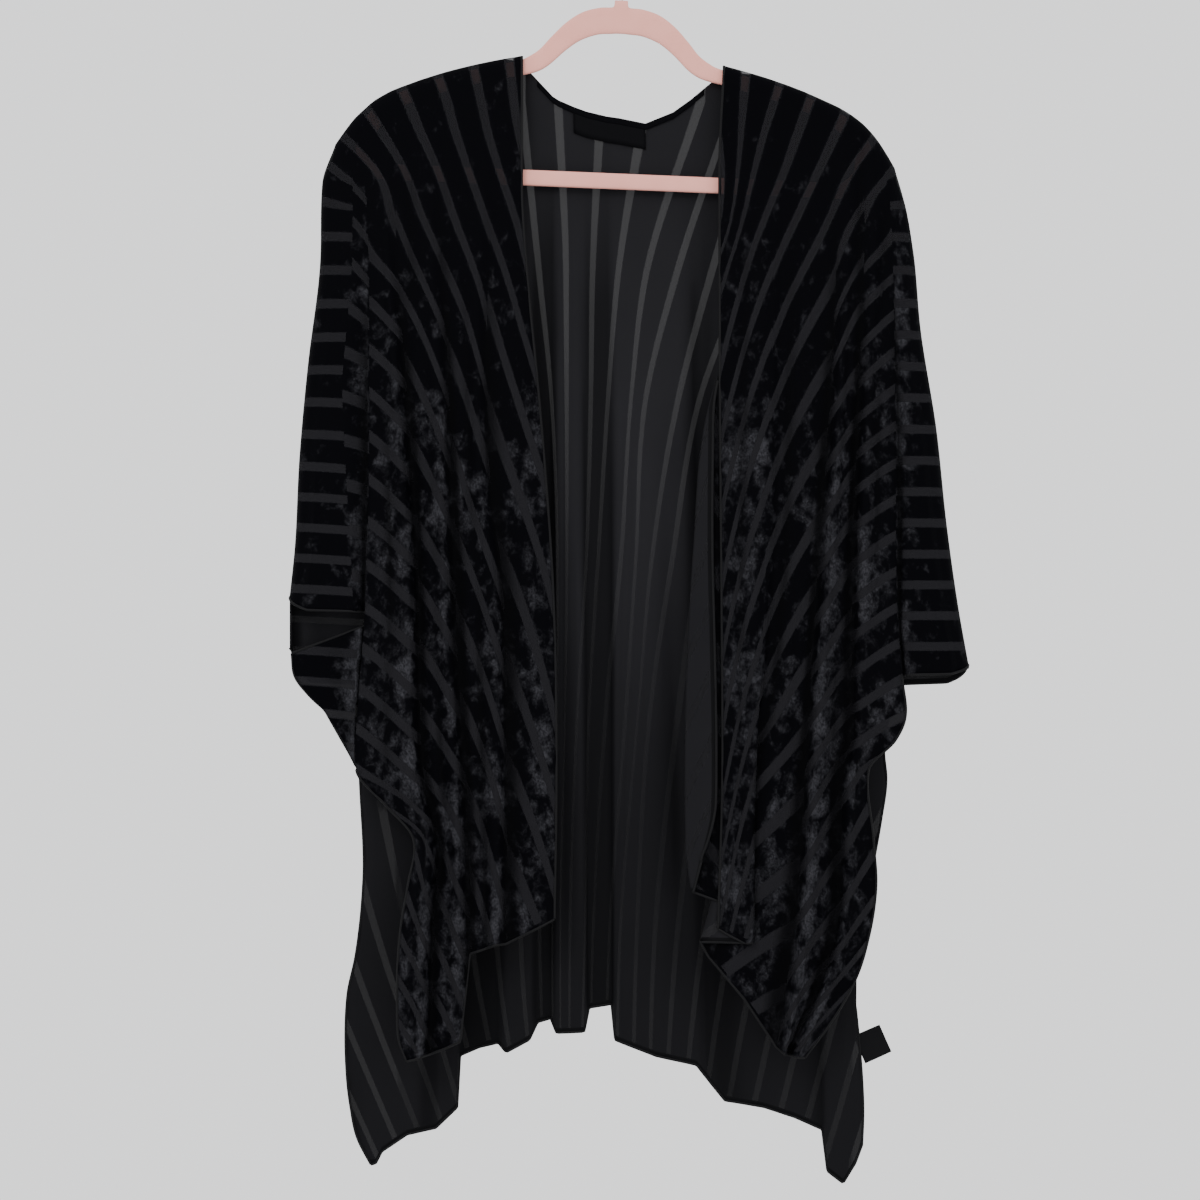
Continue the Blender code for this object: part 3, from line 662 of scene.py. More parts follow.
def stripe_number(t, z, outer, inner):
    """Stripe number at points a share t of the way from the outer line to the inner one.

    A stripe's height there lies t of the way from its height on the outer line to that on the inner
    one, and the number is read back from the heights of all stripes."""
    numbers = np.arange(*STRIPE_NUMBERS)

    def on_line(table):
        rows = np.array(table, float)
        first = (rows[1, 1] - rows[0, 1]) / (rows[1, 0] - rows[0, 0])
        last = (rows[-1, 1] - rows[-2, 1]) / (rows[-1, 0] - rows[-2, 0])
        inside = np.interp(numbers, rows[:, 0], rows[:, 1])
        return inside + np.minimum(numbers - rows[0, 0], 0) * first \
            + np.maximum(numbers - rows[-1, 0], 0) * last

    heights = on_line(outer) * (1 - t[..., None]) + on_line(inner) * t[..., None]
    return number_between(STRIPE_NUMBERS[0], -heights, -z)


def fan_of(table, first, x, z):
    """Stripe number between the stripes' places at the point's height, which a fan's table gives."""
    return number_between(first, smooth_curve(table, np.clip(z, table[-1][0], table[0][0])), x)


def all_cells(grid):
    """A mark for each cell of a grid of points, all of them cloth."""
    return np.ones((grid.shape[0] - 1, grid.shape[1] - 1), bool)


def front_surface(side):
    """One front's points, cloth cells, stripe numbers at the cells' corners, share of a full crest at
    each point, and columns at the named lines."""
    sign = SIDE[side]
    columns = front_columns(side)
    side_line = FRONT_FOLDS[side][-1][4]
    cuff = FRONT_CUFF[side]
    heights = row_heights(shoulder_height(side, side_line[0][1]), cuff[0], SLIT, LOBE_BOTTOM_AT_SIDE,
                          FRONT_FOLDS[side][-1][2])
    share = share_down(heights)
    away, z, swell = [], [], []
    for mark, line, offset, height, hem in columns:
        first = column_distance(line, offset, 0.0)
        rows = column_heights(shoulder_height(side, first), hem, share)
        away.append(column_distance(line, offset, rows))
        z.append(rows)
        swell.append(height * folds_share(rows))

    upper = share_down(heights[:CUFF_ROW + 1])
    count = len(TURN_STEPS) + 1
    lobe = smooth_curve([(k, *p) for k, p in enumerate(LOBE_EDGE)],
                        np.linspace(0, len(LOBE_EDGE) - 1, ROWS_TO_LOBE + 1))
    edge_away, edge_z = away[-1][CUFF_ROW + 1:LOBE_ROW + 1], z[-1][CUFF_ROW + 1:LOBE_ROW + 1]
    unused = len(heights) - LOBE_ROW - 1
    for k, (rows, distance) in enumerate(sleeve_columns(side, side_line, cuff, upper)):
        part = (k + 1) / count
        below_away = edge_away + (lobe[:, 0] - edge_away) * part
        below_z = edge_z + (lobe[:, 1] - edge_z) * part
        away.append(np.concatenate([distance, below_away, np.full(unused, below_away[-1])]))
        z.append(np.concatenate([rows, below_z, np.full(unused, below_z[-1])]))
        ridge = SLEEVE_RIDGE_HEIGHT * max(0.0, 1.0 - RIDGE_LOSS * k)
        swell.append(ridge * folds_share(z[-1]))
    marks = [c[0] for c in columns] + ["ridge"] + [""] * (count - 2) + ["fold"]
    breaks = {mark: j for j, mark in enumerate(marks) if mark}
    (away, z, swell), breaks = refine([np.array(a).T for a in (away, z, swell)], breaks, COLUMN_WIDTH)

    deep = smooth_curve(FRONT_DEPTH, z)
    sleeve = breaks["side"]
    deep[:, sleeve + 1:] = np.minimum(deep[:, sleeve + 1:], SLEEVE_DEPTH)
    round_off = turned(distance_to(fine_outline(side), sign * away, z))
    wrap = np.linspace(1, 0, away.shape[1] - sleeve)[1:]
    round_off[CUFF_ROW + 1:, sleeve + 1:] = np.sqrt(wrap) * LOBE_DEPTH
    round_off[:CUFF_ROW + 1, -1] = 0
    round_off[0] = 0
    cloth = all_cells(away)
    cloth[CUFF_ROW, sleeve:] = False
    cloth[(LOBE_ROW if side == "wearer_right" else CUFF_ROW):, sleeve:] = False

    lines = {"fold": fold_distance(side, z), "side": smooth_curve(side_line, z)}
    ridge_end = lines["fold"] - TURN_STEPS[0]
    lines["ridge"] = lines["side"] + read_line(SLEEVE_RIDGE, z) * (ridge_end - lines["side"])
    for name, _, _, _, line in FRONT_FOLDS[side]:
        lines[name] = smooth_curve(line, z)
    if "pleat" in lines:
        below = np.clip((PLEAT_OPENS[0] - z) / (PLEAT_OPENS[0] - PLEAT_OPENS[1]), 0, 1)
        lines["under"] = lines["pleat"] * (1 - below) + lines["under"] * below
    corners = np.zeros(cloth.shape + (4,))
    for outer, inner, on_outer, on_inner in STRIPES[side]:
        a, b = breaks["pleat" if inner == "under" else inner], breaks[outer]
        part = slice(a, b + 1)
        t = (lines[outer][:, part] - away[:, part]) / (lines[outer][:, part] - lines[inner][:, part])
        t = np.clip(t - STRIPE_BEND * t * (1 - t), -0.3, 1.4)
        n = stripe_number(t, z[:, part], on_outer, on_inner)
        fan = fan_of(SHOULDER_STRIPES[side], FIRST_SHOULDER_STRIPE, away[:, part], z[:, part])
        start, end = FAN_ENDS.get(outer, FAN_ENDS_INSIDE)
        own = np.clip((start - z[:, part]) / (start - end), 0, 1)
        n += np.round(np.median((fan - n)[np.abs(own - 0.5) < 0.3]))
        own = ease(own)
        corners[:, a:b] = cell_corners(fan * (1 - own) + n * own)
    crest = np.clip(swell / np.maximum(folds_share(z) * FULL_CREST, 0.5), 0, 1)
    y = -(SEAM_HALF_GAP + (deep + swell) * round_off)
    return np.stack([sign * away, y, z], axis=2), cloth, corners, crest, breaks


def thicken(made, thickness):
    """Gives a surface a wall of a thickness in millimetres, half of it to either side."""
    wall = made.modifiers.new("cloth", "SOLIDIFY")
    wall.thickness = thickness * MM
    wall.offset = 0.0
    return wall


def cloth_piece(name, points, cloth, corners, numbers, materials, flip):
    """A piece of cloth: its cells as faces, the stripe number and the height as its UV map, other
    numbers on its points, and its thickness from Solidify. The reverse is the second material."""
    rows, columns = points.shape[:2]
    faces = cell_corners(np.arange(rows * columns).reshape(rows, columns))[cloth]
    number = corners[cloth]
    if flip:
        faces, number = faces[:, ::-1], number[:, ::-1]
    used, inverse = np.unique(faces, return_inverse=True)
    flat = points.reshape(-1, 3)
    mesh = bpy.data.meshes.new(name)
    mesh.from_pydata((flat[used] * MM).tolist(), [], inverse.reshape(-1, 4).tolist())
    mesh.shade_smooth()
    layer = mesh.uv_layers.new(name="stripes")
    along = flat[faces.ravel(), 2] * MM
    layer.data.foreach_set("uv", np.stack([number.ravel(), along], axis=1).astype(np.float32).ravel())
    for key, values in numbers.items():
        store = mesh.attributes.new(key, "FLOAT", "POINT")
        store.data.foreach_set("value", values.reshape(-1)[used].astype(np.float32))
    for look in materials:
        mesh.materials.append(look)
    made = add_object(name, mesh)
    wall = thicken(made, CLOTH)
    wall.material_offset = 1
    wall.material_offset_rim = 0
    return made


def from_hem(points, cloth):
    """Height of each point above the lower edge of the cloth in its column, in millimetres."""
    columns = points.shape[1]
    far = np.empty(points.shape[:2])
    for j in range(columns):
        cells = np.nonzero(cloth[:, max(j - 1, 0)] | cloth[:, min(j, columns - 2)])[0]
        far[:, j] = np.minimum(FAR, np.abs(points[:, j, 2] - points[cells[-1] + 1, j, 2]))
    return far


# Half of a sheer stripe's width on the pile side and on the reverse, and how soft its edge is, as shares
# of the distance from one stripe to the next.
STRIPE_HALF = 0.142
STRIPE_HALF_INSIDE = 0.108
BURNOUT_BLUR = 0.022
BURNOUT_RAGGED = 0.03
HEM_BLUR = 0.8


def hem_mask(made):
    """One on the hem of a piece of cloth and nought above it."""
    return made.ramp(made.attribute("from_hem"), HEM_WIDTH, HEM_WIDTH + HEM_BLUR, 1.0, 0.0)


def stripe_mask(made, half):
    """One on the pile bands and nought on the bare sheer stripes, whose edges are a little ragged.

    Stripe centres lie at whole numbers of the UV map's first coordinate."""
    split = made.tree.nodes.new("ShaderNodeSeparateXYZ")
    made.put(split.inputs[0], made.coordinates("UV"))
    number = split.outputs["X"]
    ragged = made.noise(made.coordinates("Object"), 700.0, 3.0)
    ragged = made.math("MULTIPLY", made.math("SUBTRACT", ragged, 0.5), BURNOUT_RAGGED)
    share = made.math("FRACT", made.math("ADD", made.math("ADD", number, ragged), 0.5))
    off = made.math("ABSOLUTE", made.math("SUBTRACT", share, 0.5))
    pile = made.ramp(off, half - BURNOUT_BLUR, half + BURNOUT_BLUR)
    return made.math("MAXIMUM", pile, hem_mask(made))


# Pile colours: plain black, the painted sheen of crushed patches, the sheer stripes, and the painted shade
# in the folds.
PILE_BLACK = (0.0005, 0.0005, 0.0012)
PILE_PAINTED_SHEEN = (0.033, 0.033, 0.038)
PILE_SHEER = (0.0105, 0.0103, 0.0120)
PILE_FOLD_SHADE = (0.0004, 0.0004, 0.0007)
# Knit colours: two tones, the grain, the sheer stripes painted lighter as backlight, the painted shade in
# the folds, and the hem.
KNIT = [(0.0098, 0.0096, 0.0114), (0.0138, 0.0135, 0.0156)]
KNIT_GRAIN = (0.0070, 0.0070, 0.0082)
KNIT_SHEER_BACKLIGHT = (0.0190, 0.0187, 0.0205)
KNIT_FOLD_SHADE = (0.0012, 0.0012, 0.0017)
KNIT_HEM = (0.0020, 0.0020, 0.0025)


def velvet():
    """Crushed burnout velvet: black pile whose crushed patches have a painted sheen, with painted shade in
    the folds.
    """
    made = Finish("burnout_velvet", 0.7, Specular_IOR_Level=0.03)
    where = made.coordinates("Object")
    pile = stripe_mask(made, STRIPE_HALF)
    squashed = made.scaled(where, (1.0, 1.0, 0.8))
    patches = made.noise(squashed, 85.0, 4.0, 0.62, 0.25)
    clusters = made.noise(squashed, 21.0, 2.0)
    speckle = made.noise(squashed, 560.0, 3.0, 0.7, 0.6)
    level = made.math("MULTIPLY", made.attribute("crushed_pile_sheen"), made.ramp(clusters, 0.32, 0.66, 0.5, 1.15))
    edge = made.math("SUBTRACT", 0.66, made.math("MULTIPLY", level, 0.27))
    crushed = made.ramp(made.math("SUBTRACT", patches, edge), -0.07, 0.25)
    # Painted sheen: crushed patches drawn lighter where the speckle is high.
    painted_sheen = made.math("MULTIPLY", crushed, made.ramp(speckle, 0.34, 0.68, 0.28, 1.0))
    fine = made.noise(where, 900.0, 2.0)
    colour = made.mix(pile, PILE_SHEER, made.mix(painted_sheen, PILE_BLACK, PILE_PAINTED_SHEEN))
    # Painted shade: the colour goes darker in the folds, where the shade attribute is low.
    colour = made.mix(made.attribute("shade"), PILE_FOLD_SHADE, colour)
    alpha = made.ramp(pile, 0.0, 1.0, made.attribute("veil"), 1.0)
    normal = made.bump(speckle, 0.0009, 0.5, made.bump(pile, 0.0004, 0.6))
    return made.finish(Base_Color=colour, Alpha=alpha, Normal=made.bump(fine, 0.0002, 0.5, normal))


def reverse():
    """The velvet's plain back: a fine dark grey knit whose sheer stripes are painted lighter as backlight,
    with painted shade in the folds.
    """
    made = Finish("velvet_reverse", 0.8, Specular_IOR_Level=0.08)
    where = made.coordinates("Object")
    pile = stripe_mask(made, STRIPE_HALF_INSIDE)
    knit = made.noise(made.scaled(where, (1.0, 1.0, 0.35)), 2200.0, 2.0)
    tone = made.noise(where, 14.0, 3.0)
    plain = made.mix(tone, *KNIT)
    plain = made.mix(made.ramp(knit, 0.3, 0.7, 0.0, 0.3), plain, KNIT_GRAIN)
    # Painted backlight: the sheer stripes drawn lighter as if light shone through them.
    sheer_backlight = made.mix(made.attribute("sheer_backlight"), plain, KNIT_SHEER_BACKLIGHT)
    shown = made.mix(pile, sheer_backlight, plain)
    # Painted shade: the colour goes darker in the folds.
    shown = made.mix(made.attribute("shade"), KNIT_FOLD_SHADE, shown)
    shown = made.mix(hem_mask(made), shown, KNIT_HEM)
    alpha = made.ramp(pile, 0.0, 1.0, made.attribute("veil"), 1.0)
    return made.finish(Base_Color=shown, Alpha=alpha, Normal=made.bump(knit, 0.00015, 0.4))


# The soft swell's waves: how many, half of a wave's width and height, and how far it bends.
DRIFT_WAVES = 9
DRIFT_WIDE = (22, 60)
DRIFT_TALL = (140, 420)
DRIFT_BEND = 1.4


def drift(points, seed, height):
    """A soft uneven swell of hanging cloth: a few long waves, mostly upright ones."""
    rng = np.random.default_rng(seed)
    x, z = points[..., 0], points[..., 2]
    total = np.zeros(x.shape)
    for _ in range(DRIFT_WAVES):
        wide, tall = rng.uniform(*DRIFT_WIDE), rng.uniform(*DRIFT_TALL)
        total += np.sin(x / wide * math.pi + rng.uniform(0, 6.3)
                        + DRIFT_BEND * np.sin(z / tall * math.pi + rng.uniform(0, 6.3)))
    return total / DRIFT_WAVES * height


# Smaller folds: top (z, distance from the middle), bottom (z, distance), half width and depth.
CREASES = {
    "wearer_right": [
        ((-215, 178), (-330, 175), 5, 1.8), ((-560, 122), (-900, 113), 4.5, 2.6),
        ((-300, 133), (-520, 128), 6, 1.6), ((-640, 152), (-860, 147), 5, 1.8),
        ((-420, 198), (-600, 192), 5, 1.5),
    ],
    "wearer_left": [
        ((-240, 214), (-345, 212), 4, 1.6), ((-190, 195), (-315, 192), 4, 1.6),
        ((-235, 101), (-820, 91), 6, 2.0), ((-430, 147), (-700, 135), 5.5, 2.0),
        ((-600, 175), (-800, 166), 5, 1.8), ((-360, 209), (-560, 207), 5, 1.5),
    ],
}


def creases(across, z, table):
    """Depth of the smaller folds: each is a trough along a slanting line, which has lost two thirds of
    its depth at its half width, and it runs out softly at both ends."""
    total = np.zeros(across.shape)
    for (z0, s0), (z1, s1), width, depth in table:
        share = (z - z0) / (z1 - z0)
        off = (across - s0 - (s1 - s0) * share) / width
        ends = np.sqrt(np.clip(4 * share * (1 - share), 0, 1))
        total += depth * np.exp(-off ** 2) * ends
    return total


def hollows(points, depth, dark, reach):
    """Share of the light that reaches each point of a folded cloth: less where the point lies behind
    the mean of its neighbours along its row, by depth in millimetres, and all of it on the crests."""
    y = points[..., 1]
    total = np.cumsum(np.pad(y, ((0, 0), (reach + 1, reach)), mode="edge"), axis=1)
    mean = (total[:, 2 * reach + 1:] - total[:, :-2 * reach - 1]) / (2 * reach + 1)
    return 1 - dark * ease((y - mean) / depth)


VELVET, REVERSE = velvet(), reverse()
FRONT_SEED = 11
FRONT_DRIFT = 1.6
FRONT_DRIFT_STARTS = 25
# Share of the light that each wall of a sheer stripe stops: (z, share).
FRONT_VEIL = [(-150, 0.68), (-240, 0.70), (-330, 0.88), (-500, 0.94)]
# Depth in millimetres of a full hollow, the light lost there, and the columns looked at on each side.
FRONT_HOLLOWS = (2.6, 0.82, 5)
# Painted sheen of the crushed pile: the least of it, more of it from the shoulder down, and a painted
# highlight on the crests of the folds.
SHEEN_LEAST, SHEEN_LOW, SHEEN_CREST = 0.03, 0.50, 0.60
SHEEN_GROWS, SHEEN_CREST_POWER = 1.3, 1.5
# On the sleeve little of that painted sheen is left, but more is painted beside its inner fold, where the
# pile is crushed, this far out.
SLEEVE_SHEEN_LEFT, SLEEVE_SHEEN, SLEEVE_SHEEN_REACH = 0.12, 1.25, 13.0
fronts = {}
for k, side in enumerate(SIDE):
    points, cloth, corners, crest, breaks = front_surface(side)
    inward = distance_to(fine_outline(side), points[..., 0], points[..., 2]) / FRONT_DRIFT_STARTS
    low = folds_share(points[..., 2])
    points[..., 1] -= drift(points, FRONT_SEED + k, FRONT_DRIFT) * np.clip(inward, 0, 1) * low
    points[..., 1] += creases(SIDE[side] * points[..., 0], points[..., 2], CREASES[side])
    crushed_pile_sheen = SHEEN_LEAST + low ** SHEEN_GROWS * (SHEEN_LOW + SHEEN_CREST * crest ** SHEEN_CREST_POWER)
    out = np.abs(points[..., 0]) - np.abs(points[:, breaks["side"], 0])[:, None]
    beside = np.sqrt(low) * SLEEVE_SHEEN * np.exp(-(out / SLEEVE_SHEEN_REACH) ** 2)
    numbers = {"crushed_pile_sheen": np.where(out > 0, crushed_pile_sheen * SLEEVE_SHEEN_LEFT + beside, crushed_pile_sheen),
               "from_hem": from_hem(points, cloth), "veil": read_line(FRONT_VEIL, points[..., 2]),
               "shade": hollows(points, *FRONT_HOLLOWS), "sheer_backlight": np.ones(points.shape[:2])}
    front = cloth_piece("front_cloth_" + side, points, cloth, corners, numbers, [VELVET, REVERSE],
                        flip=side == "wearer_right")
    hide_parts("front_panel_" + side)
    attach(front, "root")
    fronts[side] = (front, points, breaks)

# Back
# One piece of the same velvet with both back sleeves, sewn to the fronts along the shoulders and down to
# the cuffs. Its upper edge is the neckline. From the front it shows its grey reverse.
BACK_CUFF = {"wearer_right": (-640, -607), "wearer_left": (-638, -623)}
BACK_TOP = -176.0
BACK_CUFF_ROW = -639.0
BACK_SLIT = 22.0
BACK_HEM = -1035.0
BACK_DEPTH = [(-1060, 17), (-800, 15), (-560, 12), (-384, 10), (-230, 8.5), (-110, 6.5)]
BACK_SIDE_FOLD = 4.0
BACK_COLUMN_WIDTH = 3.2
BACK_FOLDS_SHARE = 0.8
# Upright lines: x at the top, x at the hem, the hem's height, how far it stands towards the viewer.
BACK_LINES = [
    (-211, -208, -1037, 5), (-196, -203, -1027, 5), (-176, -182, -1013, 4), (-156, -158, -1008, 1),
    (-142, -140, -990, 6), (-139, -138, -948, -4), (-122, -122, -941, -4), (-106, -106, -937, -2),
    (-100, -99, -944, 6), (-85, -80, -934, 4), (-73, -73, -920, -4), (-60, -62, -917, -5),
    (-55, -57, -928, 5), (-43, -34, -927, 5), (-32, -30, -908, -4), (-15, -11, -905, -4),
    (-5, -8, -934, 5), (17, 26, -947, 6), (40, 60, -955, 3), (55, 72, -971, -3), (66, 84, -986, -5),
    (82, 116, -991, -3), (112, 142, -999, 0), (146, 165, -1009, 2), (160, 169, -1043, 8),
    (176, 182, -1053, 8), (198, 192, -1037, 6),
]
BACK_SIDE = {
    "wearer_right": [
        (-168, 224), (-215, 215), (-384, 212), (-577, 217), (-640, 221), (-706, 221), (-799, 218),
        (-866, 225), (-897, 231.5), (-942, 233), (-990, 229), (-1017, 223), (-1038, 212),
    ],
    "wearer_left": [
        (-190, 210), (-240, 219), (-384, 222), (-570, 223), (-638, 224), (-694, 216), (-716, 218),
        (-748, 214), (-783, 208), (-842, 200), (-875, 190), (-914, 193.5), (-945, 196.5), (-998, 199),
        (-1022, 198),
    ],
}
NECKLINE = [
    (-85, -121), (-75.5, -131), (-62, -146), (-43, -156), (-21, -163), (-2, -166), (17, -170),
    (34, -164), (48, -155.5), (61, -145), (73, -135), (83, -127),
]
# The back's upper edge is sewn to the fronts from this distance outward.
NECK_END = 84
# The back's stripes fan out from the neck: for each height, x of the stripes -8 to 15.
FIRST_STRIPE = -8
BACK_STRIPES = [
    (-152, [-350, -315, -280, -245, -210, -175, -142, -113, -86, -56, -20, 17,
            64, 91, 116, 145, 174, 206, 240, 275, 310, 345, 380, 415]),
    (-298, [-340, -305, -268, -235, -200, -165, -128, -95, -71, -49, -27, -6,
            17, 42, 71, 100, 129, 162, 198, 235, 272, 310, 348, 386]),
    (-395, [-330, -292, -255, -220, -183, -145, -108, -80, -61, -49, -28, -14,
            6, 17, 46, 63, 91, 124, 160, 198, 238, 278, 318, 358]),
    (-534, [-310, -272, -235, -198, -160, -122, -90, -68, -56, -49, -32, -23,
            -3, 9, 22, 39, 62, 90, 124, 162, 202, 242, 282, 322]),
    (-650, [-290, -255, -218, -180, -143, -108, -80, -64, -56, -50, -39, -30,
            -15, 2, 12, 21, 46, 70, 100, 136, 175, 215, 255, 295]),
    (-841, [-236, -208, -181, -155, -130, -107, -87, -71, -60, -54, -46, -33,
            -27, -12, -4, 10, 25, 44, 66, 90, 116, 144, 172, 200]),
    (-1035, [-163, -142, -124, -108, -93, -80, -71, -64, -59, -54, -47, -38,
             -30, -18, -8, 6, 20, 31, 44, 60, 78, 98, 120, 143]),
]
BACK_CREASES = [
    ((-350, -52), (-935, -53), 3.5, 2.6), ((-380, 5), (-940, -8), 3.5, 2.4),
    ((-330, -24), (-700, -26), 6, 1.4), ((-460, 34), (-900, 47), 7, 1.6), ((-300, 58), (-760, 66), 5, 1.5),
    ((-520, -38), (-900, -41), 4, -1.5),
]
BACK_SEED = 31
BACK_DRIFT = 1.8
BACK_DRIFT_STARTS = 30
# Share of the light that each wall of a sheer stripe stops, denser where the folds lie close:
# (z, share). Behind the fronts' shoulders and in the hem's free corners it has a share of its own.
BACK_VEIL = [(-150, 0.84), (-350, 0.87), (-560, 0.94), (-760, 0.96), (-900, 0.94)]
SHOULDER_VEIL, SHOULDER_VEIL_FROM_X, SHOULDER_VEIL_ABOVE = 0.97, 86, -400
CORNER_VEIL, CORNER_VEIL_FROM_X, CORNER_VEIL_BELOW = 0.90, 190, -740
# Share of the light that reaches the inside between the fronts, painted as shade, and how far the sheer
# stripes, painted lighter as backlight, stand out from the knit there: (z, share).
BACK_SHADE = [(-180, 0.74), (-330, 0.84), (-460, 1.0), (-560, 0.95), (-720, 0.55), (-860, 0.38),
              (-1000, 0.42)]
BACK_SHEER_BACKLIGHT = [(-300, 1.0), (-480, 0.75), (-620, 0.2), (-820, 0.2), (-900, 0.9)]
# Depth in millimetres of a full hollow, the light lost there, and the columns looked at on each side.
BACK_HOLLOWS = (1.6, 0.7, 8)
# Painted sheen of the crushed pile on the outside: the least of it, how much more on its waves, and their
# width.
BACK_SHEEN_LEAST, BACK_SHEEN_MORE, BACK_SHEEN_WAVE = 0.15, 0.75, 14


def back_top(x):
    """Height of the back's upper edge: the neckline in the middle, the shoulders outside it."""
    if x < NECKLINE[0][0]:
        return shoulder_height("wearer_right", -x)
    if x > NECKLINE[-1][0]:
        return shoulder_height("wearer_left", x)
    return smooth_curve(NECKLINE, x)


def back_sleeve(side, heights):
    """Columns of one back sleeve from the side line out, as lists of x and z."""
    upper = share_down(heights[:CUFF_ROW + 1])
    unused = len(heights) - len(upper)
    xs, zs = [], []
    for rows, distance in sleeve_columns(side, BACK_SIDE[side], BACK_CUFF[side], upper)[1:]:
        xs.append(SIDE[side] * np.concatenate([distance, np.full(unused, distance[-1])]))
        zs.append(np.concatenate([rows, np.full(unused, rows[-1])]))
    return xs, zs


def stripes_of(side, outer):
    """The crossings on both lines of the stretch of a front that starts at a named outer line."""
    for first, _, on_outer, on_inner in STRIPES[side]:
        if first == outer:
            return on_outer, on_inner


def back_surface():
    """The back's points, cloth cells, stripe numbers at the cells' corners, and columns at its lines."""
    heights = row_heights(BACK_TOP, BACK_CUFF_ROW, BACK_SLIT, LOBE_BOTTOM_AT_SIDE, BACK_HEM)
    share = share_down(heights)
    xs, zs, swell = [], [], []
    for line in ["wearer_right"] + BACK_LINES + ["wearer_left"]:
        if line in SIDE:
            side, line, height = line, BACK_SIDE[line], BACK_SIDE_FOLD
            rows = column_heights(shoulder_height(side, line[0][1]), line[-1][0], share)
            xs.append(SIDE[side] * smooth_curve(line, rows))
        else:
            top_x, hem_x, hem_z, height = line
            top = back_top(top_x)
            rows = column_heights(top, hem_z, share)
            xs.append(top_x + (hem_x - top_x) * (top - rows) / (top - hem_z))
        zs.append(rows)
        swell.append(height * folds_share(rows))
    left_x, left_z = back_sleeve("wearer_right", heights)
    right_x, right_z = back_sleeve("wearer_left", heights)
    none = np.zeros(len(heights))
    x = np.array(left_x[::-1] + xs + right_x).T
    z = np.array(left_z[::-1] + zs + right_z).T
    swell = np.array([none] * len(left_x) + swell + [none] * len(right_x)).T
    first = len(left_x)
    breaks = {"side_right": first, "side_left": x.shape[1] - 1 - len(right_x)}
    breaks.update({k: first + 1 + k for k in range(len(BACK_LINES))})
    (x, z, swell), breaks = refine([x, z, swell], breaks, BACK_COLUMN_WIDTH)
    fold = np.minimum(distance_to(fine_outline("wearer_right"), x, z),
                      distance_to(fine_outline("wearer_left"), x, z))
    round_off = turned(fold)
    round_off[:CUFF_ROW + 1, [0, -1]] = 0
    round_off[0, np.abs(x[0]) > NECK_END] = 0
    y = SEAM_HALF_GAP + (smooth_curve(BACK_DEPTH, z) - swell * BACK_FOLDS_SHARE) * round_off
    points = np.stack([x, y, z], axis=2)
    soft = drift(points, BACK_SEED, BACK_DRIFT) * folds_share(z) + creases(x, z, BACK_CREASES)
    points[..., 1] += soft * np.clip(fold / BACK_DRIFT_STARTS, 0, 1)
    cloth = all_cells(x)
    cloth[CUFF_ROW:, :breaks["side_right"]] = False
    cloth[CUFF_ROW:, breaks["side_left"]:] = False

    corners = np.zeros(cloth.shape + (4,))
    right, left = breaks["side_right"], breaks["side_left"]
    middle = slice(right, left + 1)
    fan = [(height, *row) for height, row in BACK_STRIPES]
    corners[:, right:left] = cell_corners(fan_of(fan, FIRST_STRIPE, x[:, middle], z[:, middle]))
    for side, a, b in (("wearer_right", 0, right), ("wearer_left", left, x.shape[1] - 1)):
        part = slice(a, b + 1)
        on_outer, on_inner = stripes_of(side, "fold")
        edge, seam = fold_distance(side, z[:, part]), smooth_curve(BACK_SIDE[side], z[:, part])
        t = np.clip((edge - np.abs(x[:, part])) / (edge - seam), 0, 1)
        corners[:, a:b] = cell_corners(stripe_number(t, z[:, part], on_outer, on_inner))
    return points, cloth, corners, breaks


back_points, cloth, corners, back_breaks = back_surface()
x, z = back_points[..., 0], back_points[..., 2]
waves = 0.5 + 0.5 * np.sin(x / BACK_SHEEN_WAVE)
shoulder = (np.abs(x) > SHOULDER_VEIL_FROM_X) & (z > SHOULDER_VEIL_ABOVE)
corner = (np.abs(x) > CORNER_VEIL_FROM_X) & (z < CORNER_VEIL_BELOW)
veil = np.where(shoulder, SHOULDER_VEIL, read_line(BACK_VEIL, z))
numbers = {"crushed_pile_sheen": BACK_SHEEN_LEAST + BACK_SHEEN_MORE * folds_share(z) * waves,
           "from_hem": from_hem(back_points, cloth), "veil": np.where(corner, CORNER_VEIL, veil),
           "shade": hollows(back_points, *BACK_HOLLOWS) * read_line(BACK_SHADE, z),
           "sheer_backlight": read_line(BACK_SHEER_BACKLIGHT, z)}
back_cloth = cloth_piece("back_cloth", back_points, cloth, corners, numbers, [VELVET, REVERSE],
                         flip=True)
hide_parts("back_panel")
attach(back_cloth, "root")

# Lapel
# The wearer's left edge is turned outward on itself, so that a narrow strip shows the grey reverse with
# its serged edge. The velvet under the turn hangs a little lower and ends in a corner.
LAPEL_FOLD = [
    (-380, 77), (-401, 70.5), (-531, 55.6), (-600, 51.5), (-695, 49), (-768, 49.4), (-806, 54),
]
LAPEL_EDGE = [
    (-380, 77.6), (-401, 73.5), (-436, 72), (-534, 71.5), (-600, 73), (-695, 74.5), (-732, 74), (-762, 68),
    (-778, 62),
]
LAPEL_ROWS = 140
LAPEL_FLAT_POINTS = 9
LAPEL_TURN_DEG = [30, 60, 90, 120, 150]
LAPEL_OUTER_FIRST = 13
LAPEL_ROOT = 80.5
LAPEL_BEHIND = 1.4
LAPEL_TURN = 1.6
LAPEL_LEAST_TURN = 0.3
LAPEL_TOP = -380.0
LAPEL_UNDER_BOTTOM = (-815, -806)
LAPEL_OUTER_BOTTOM = -781.0
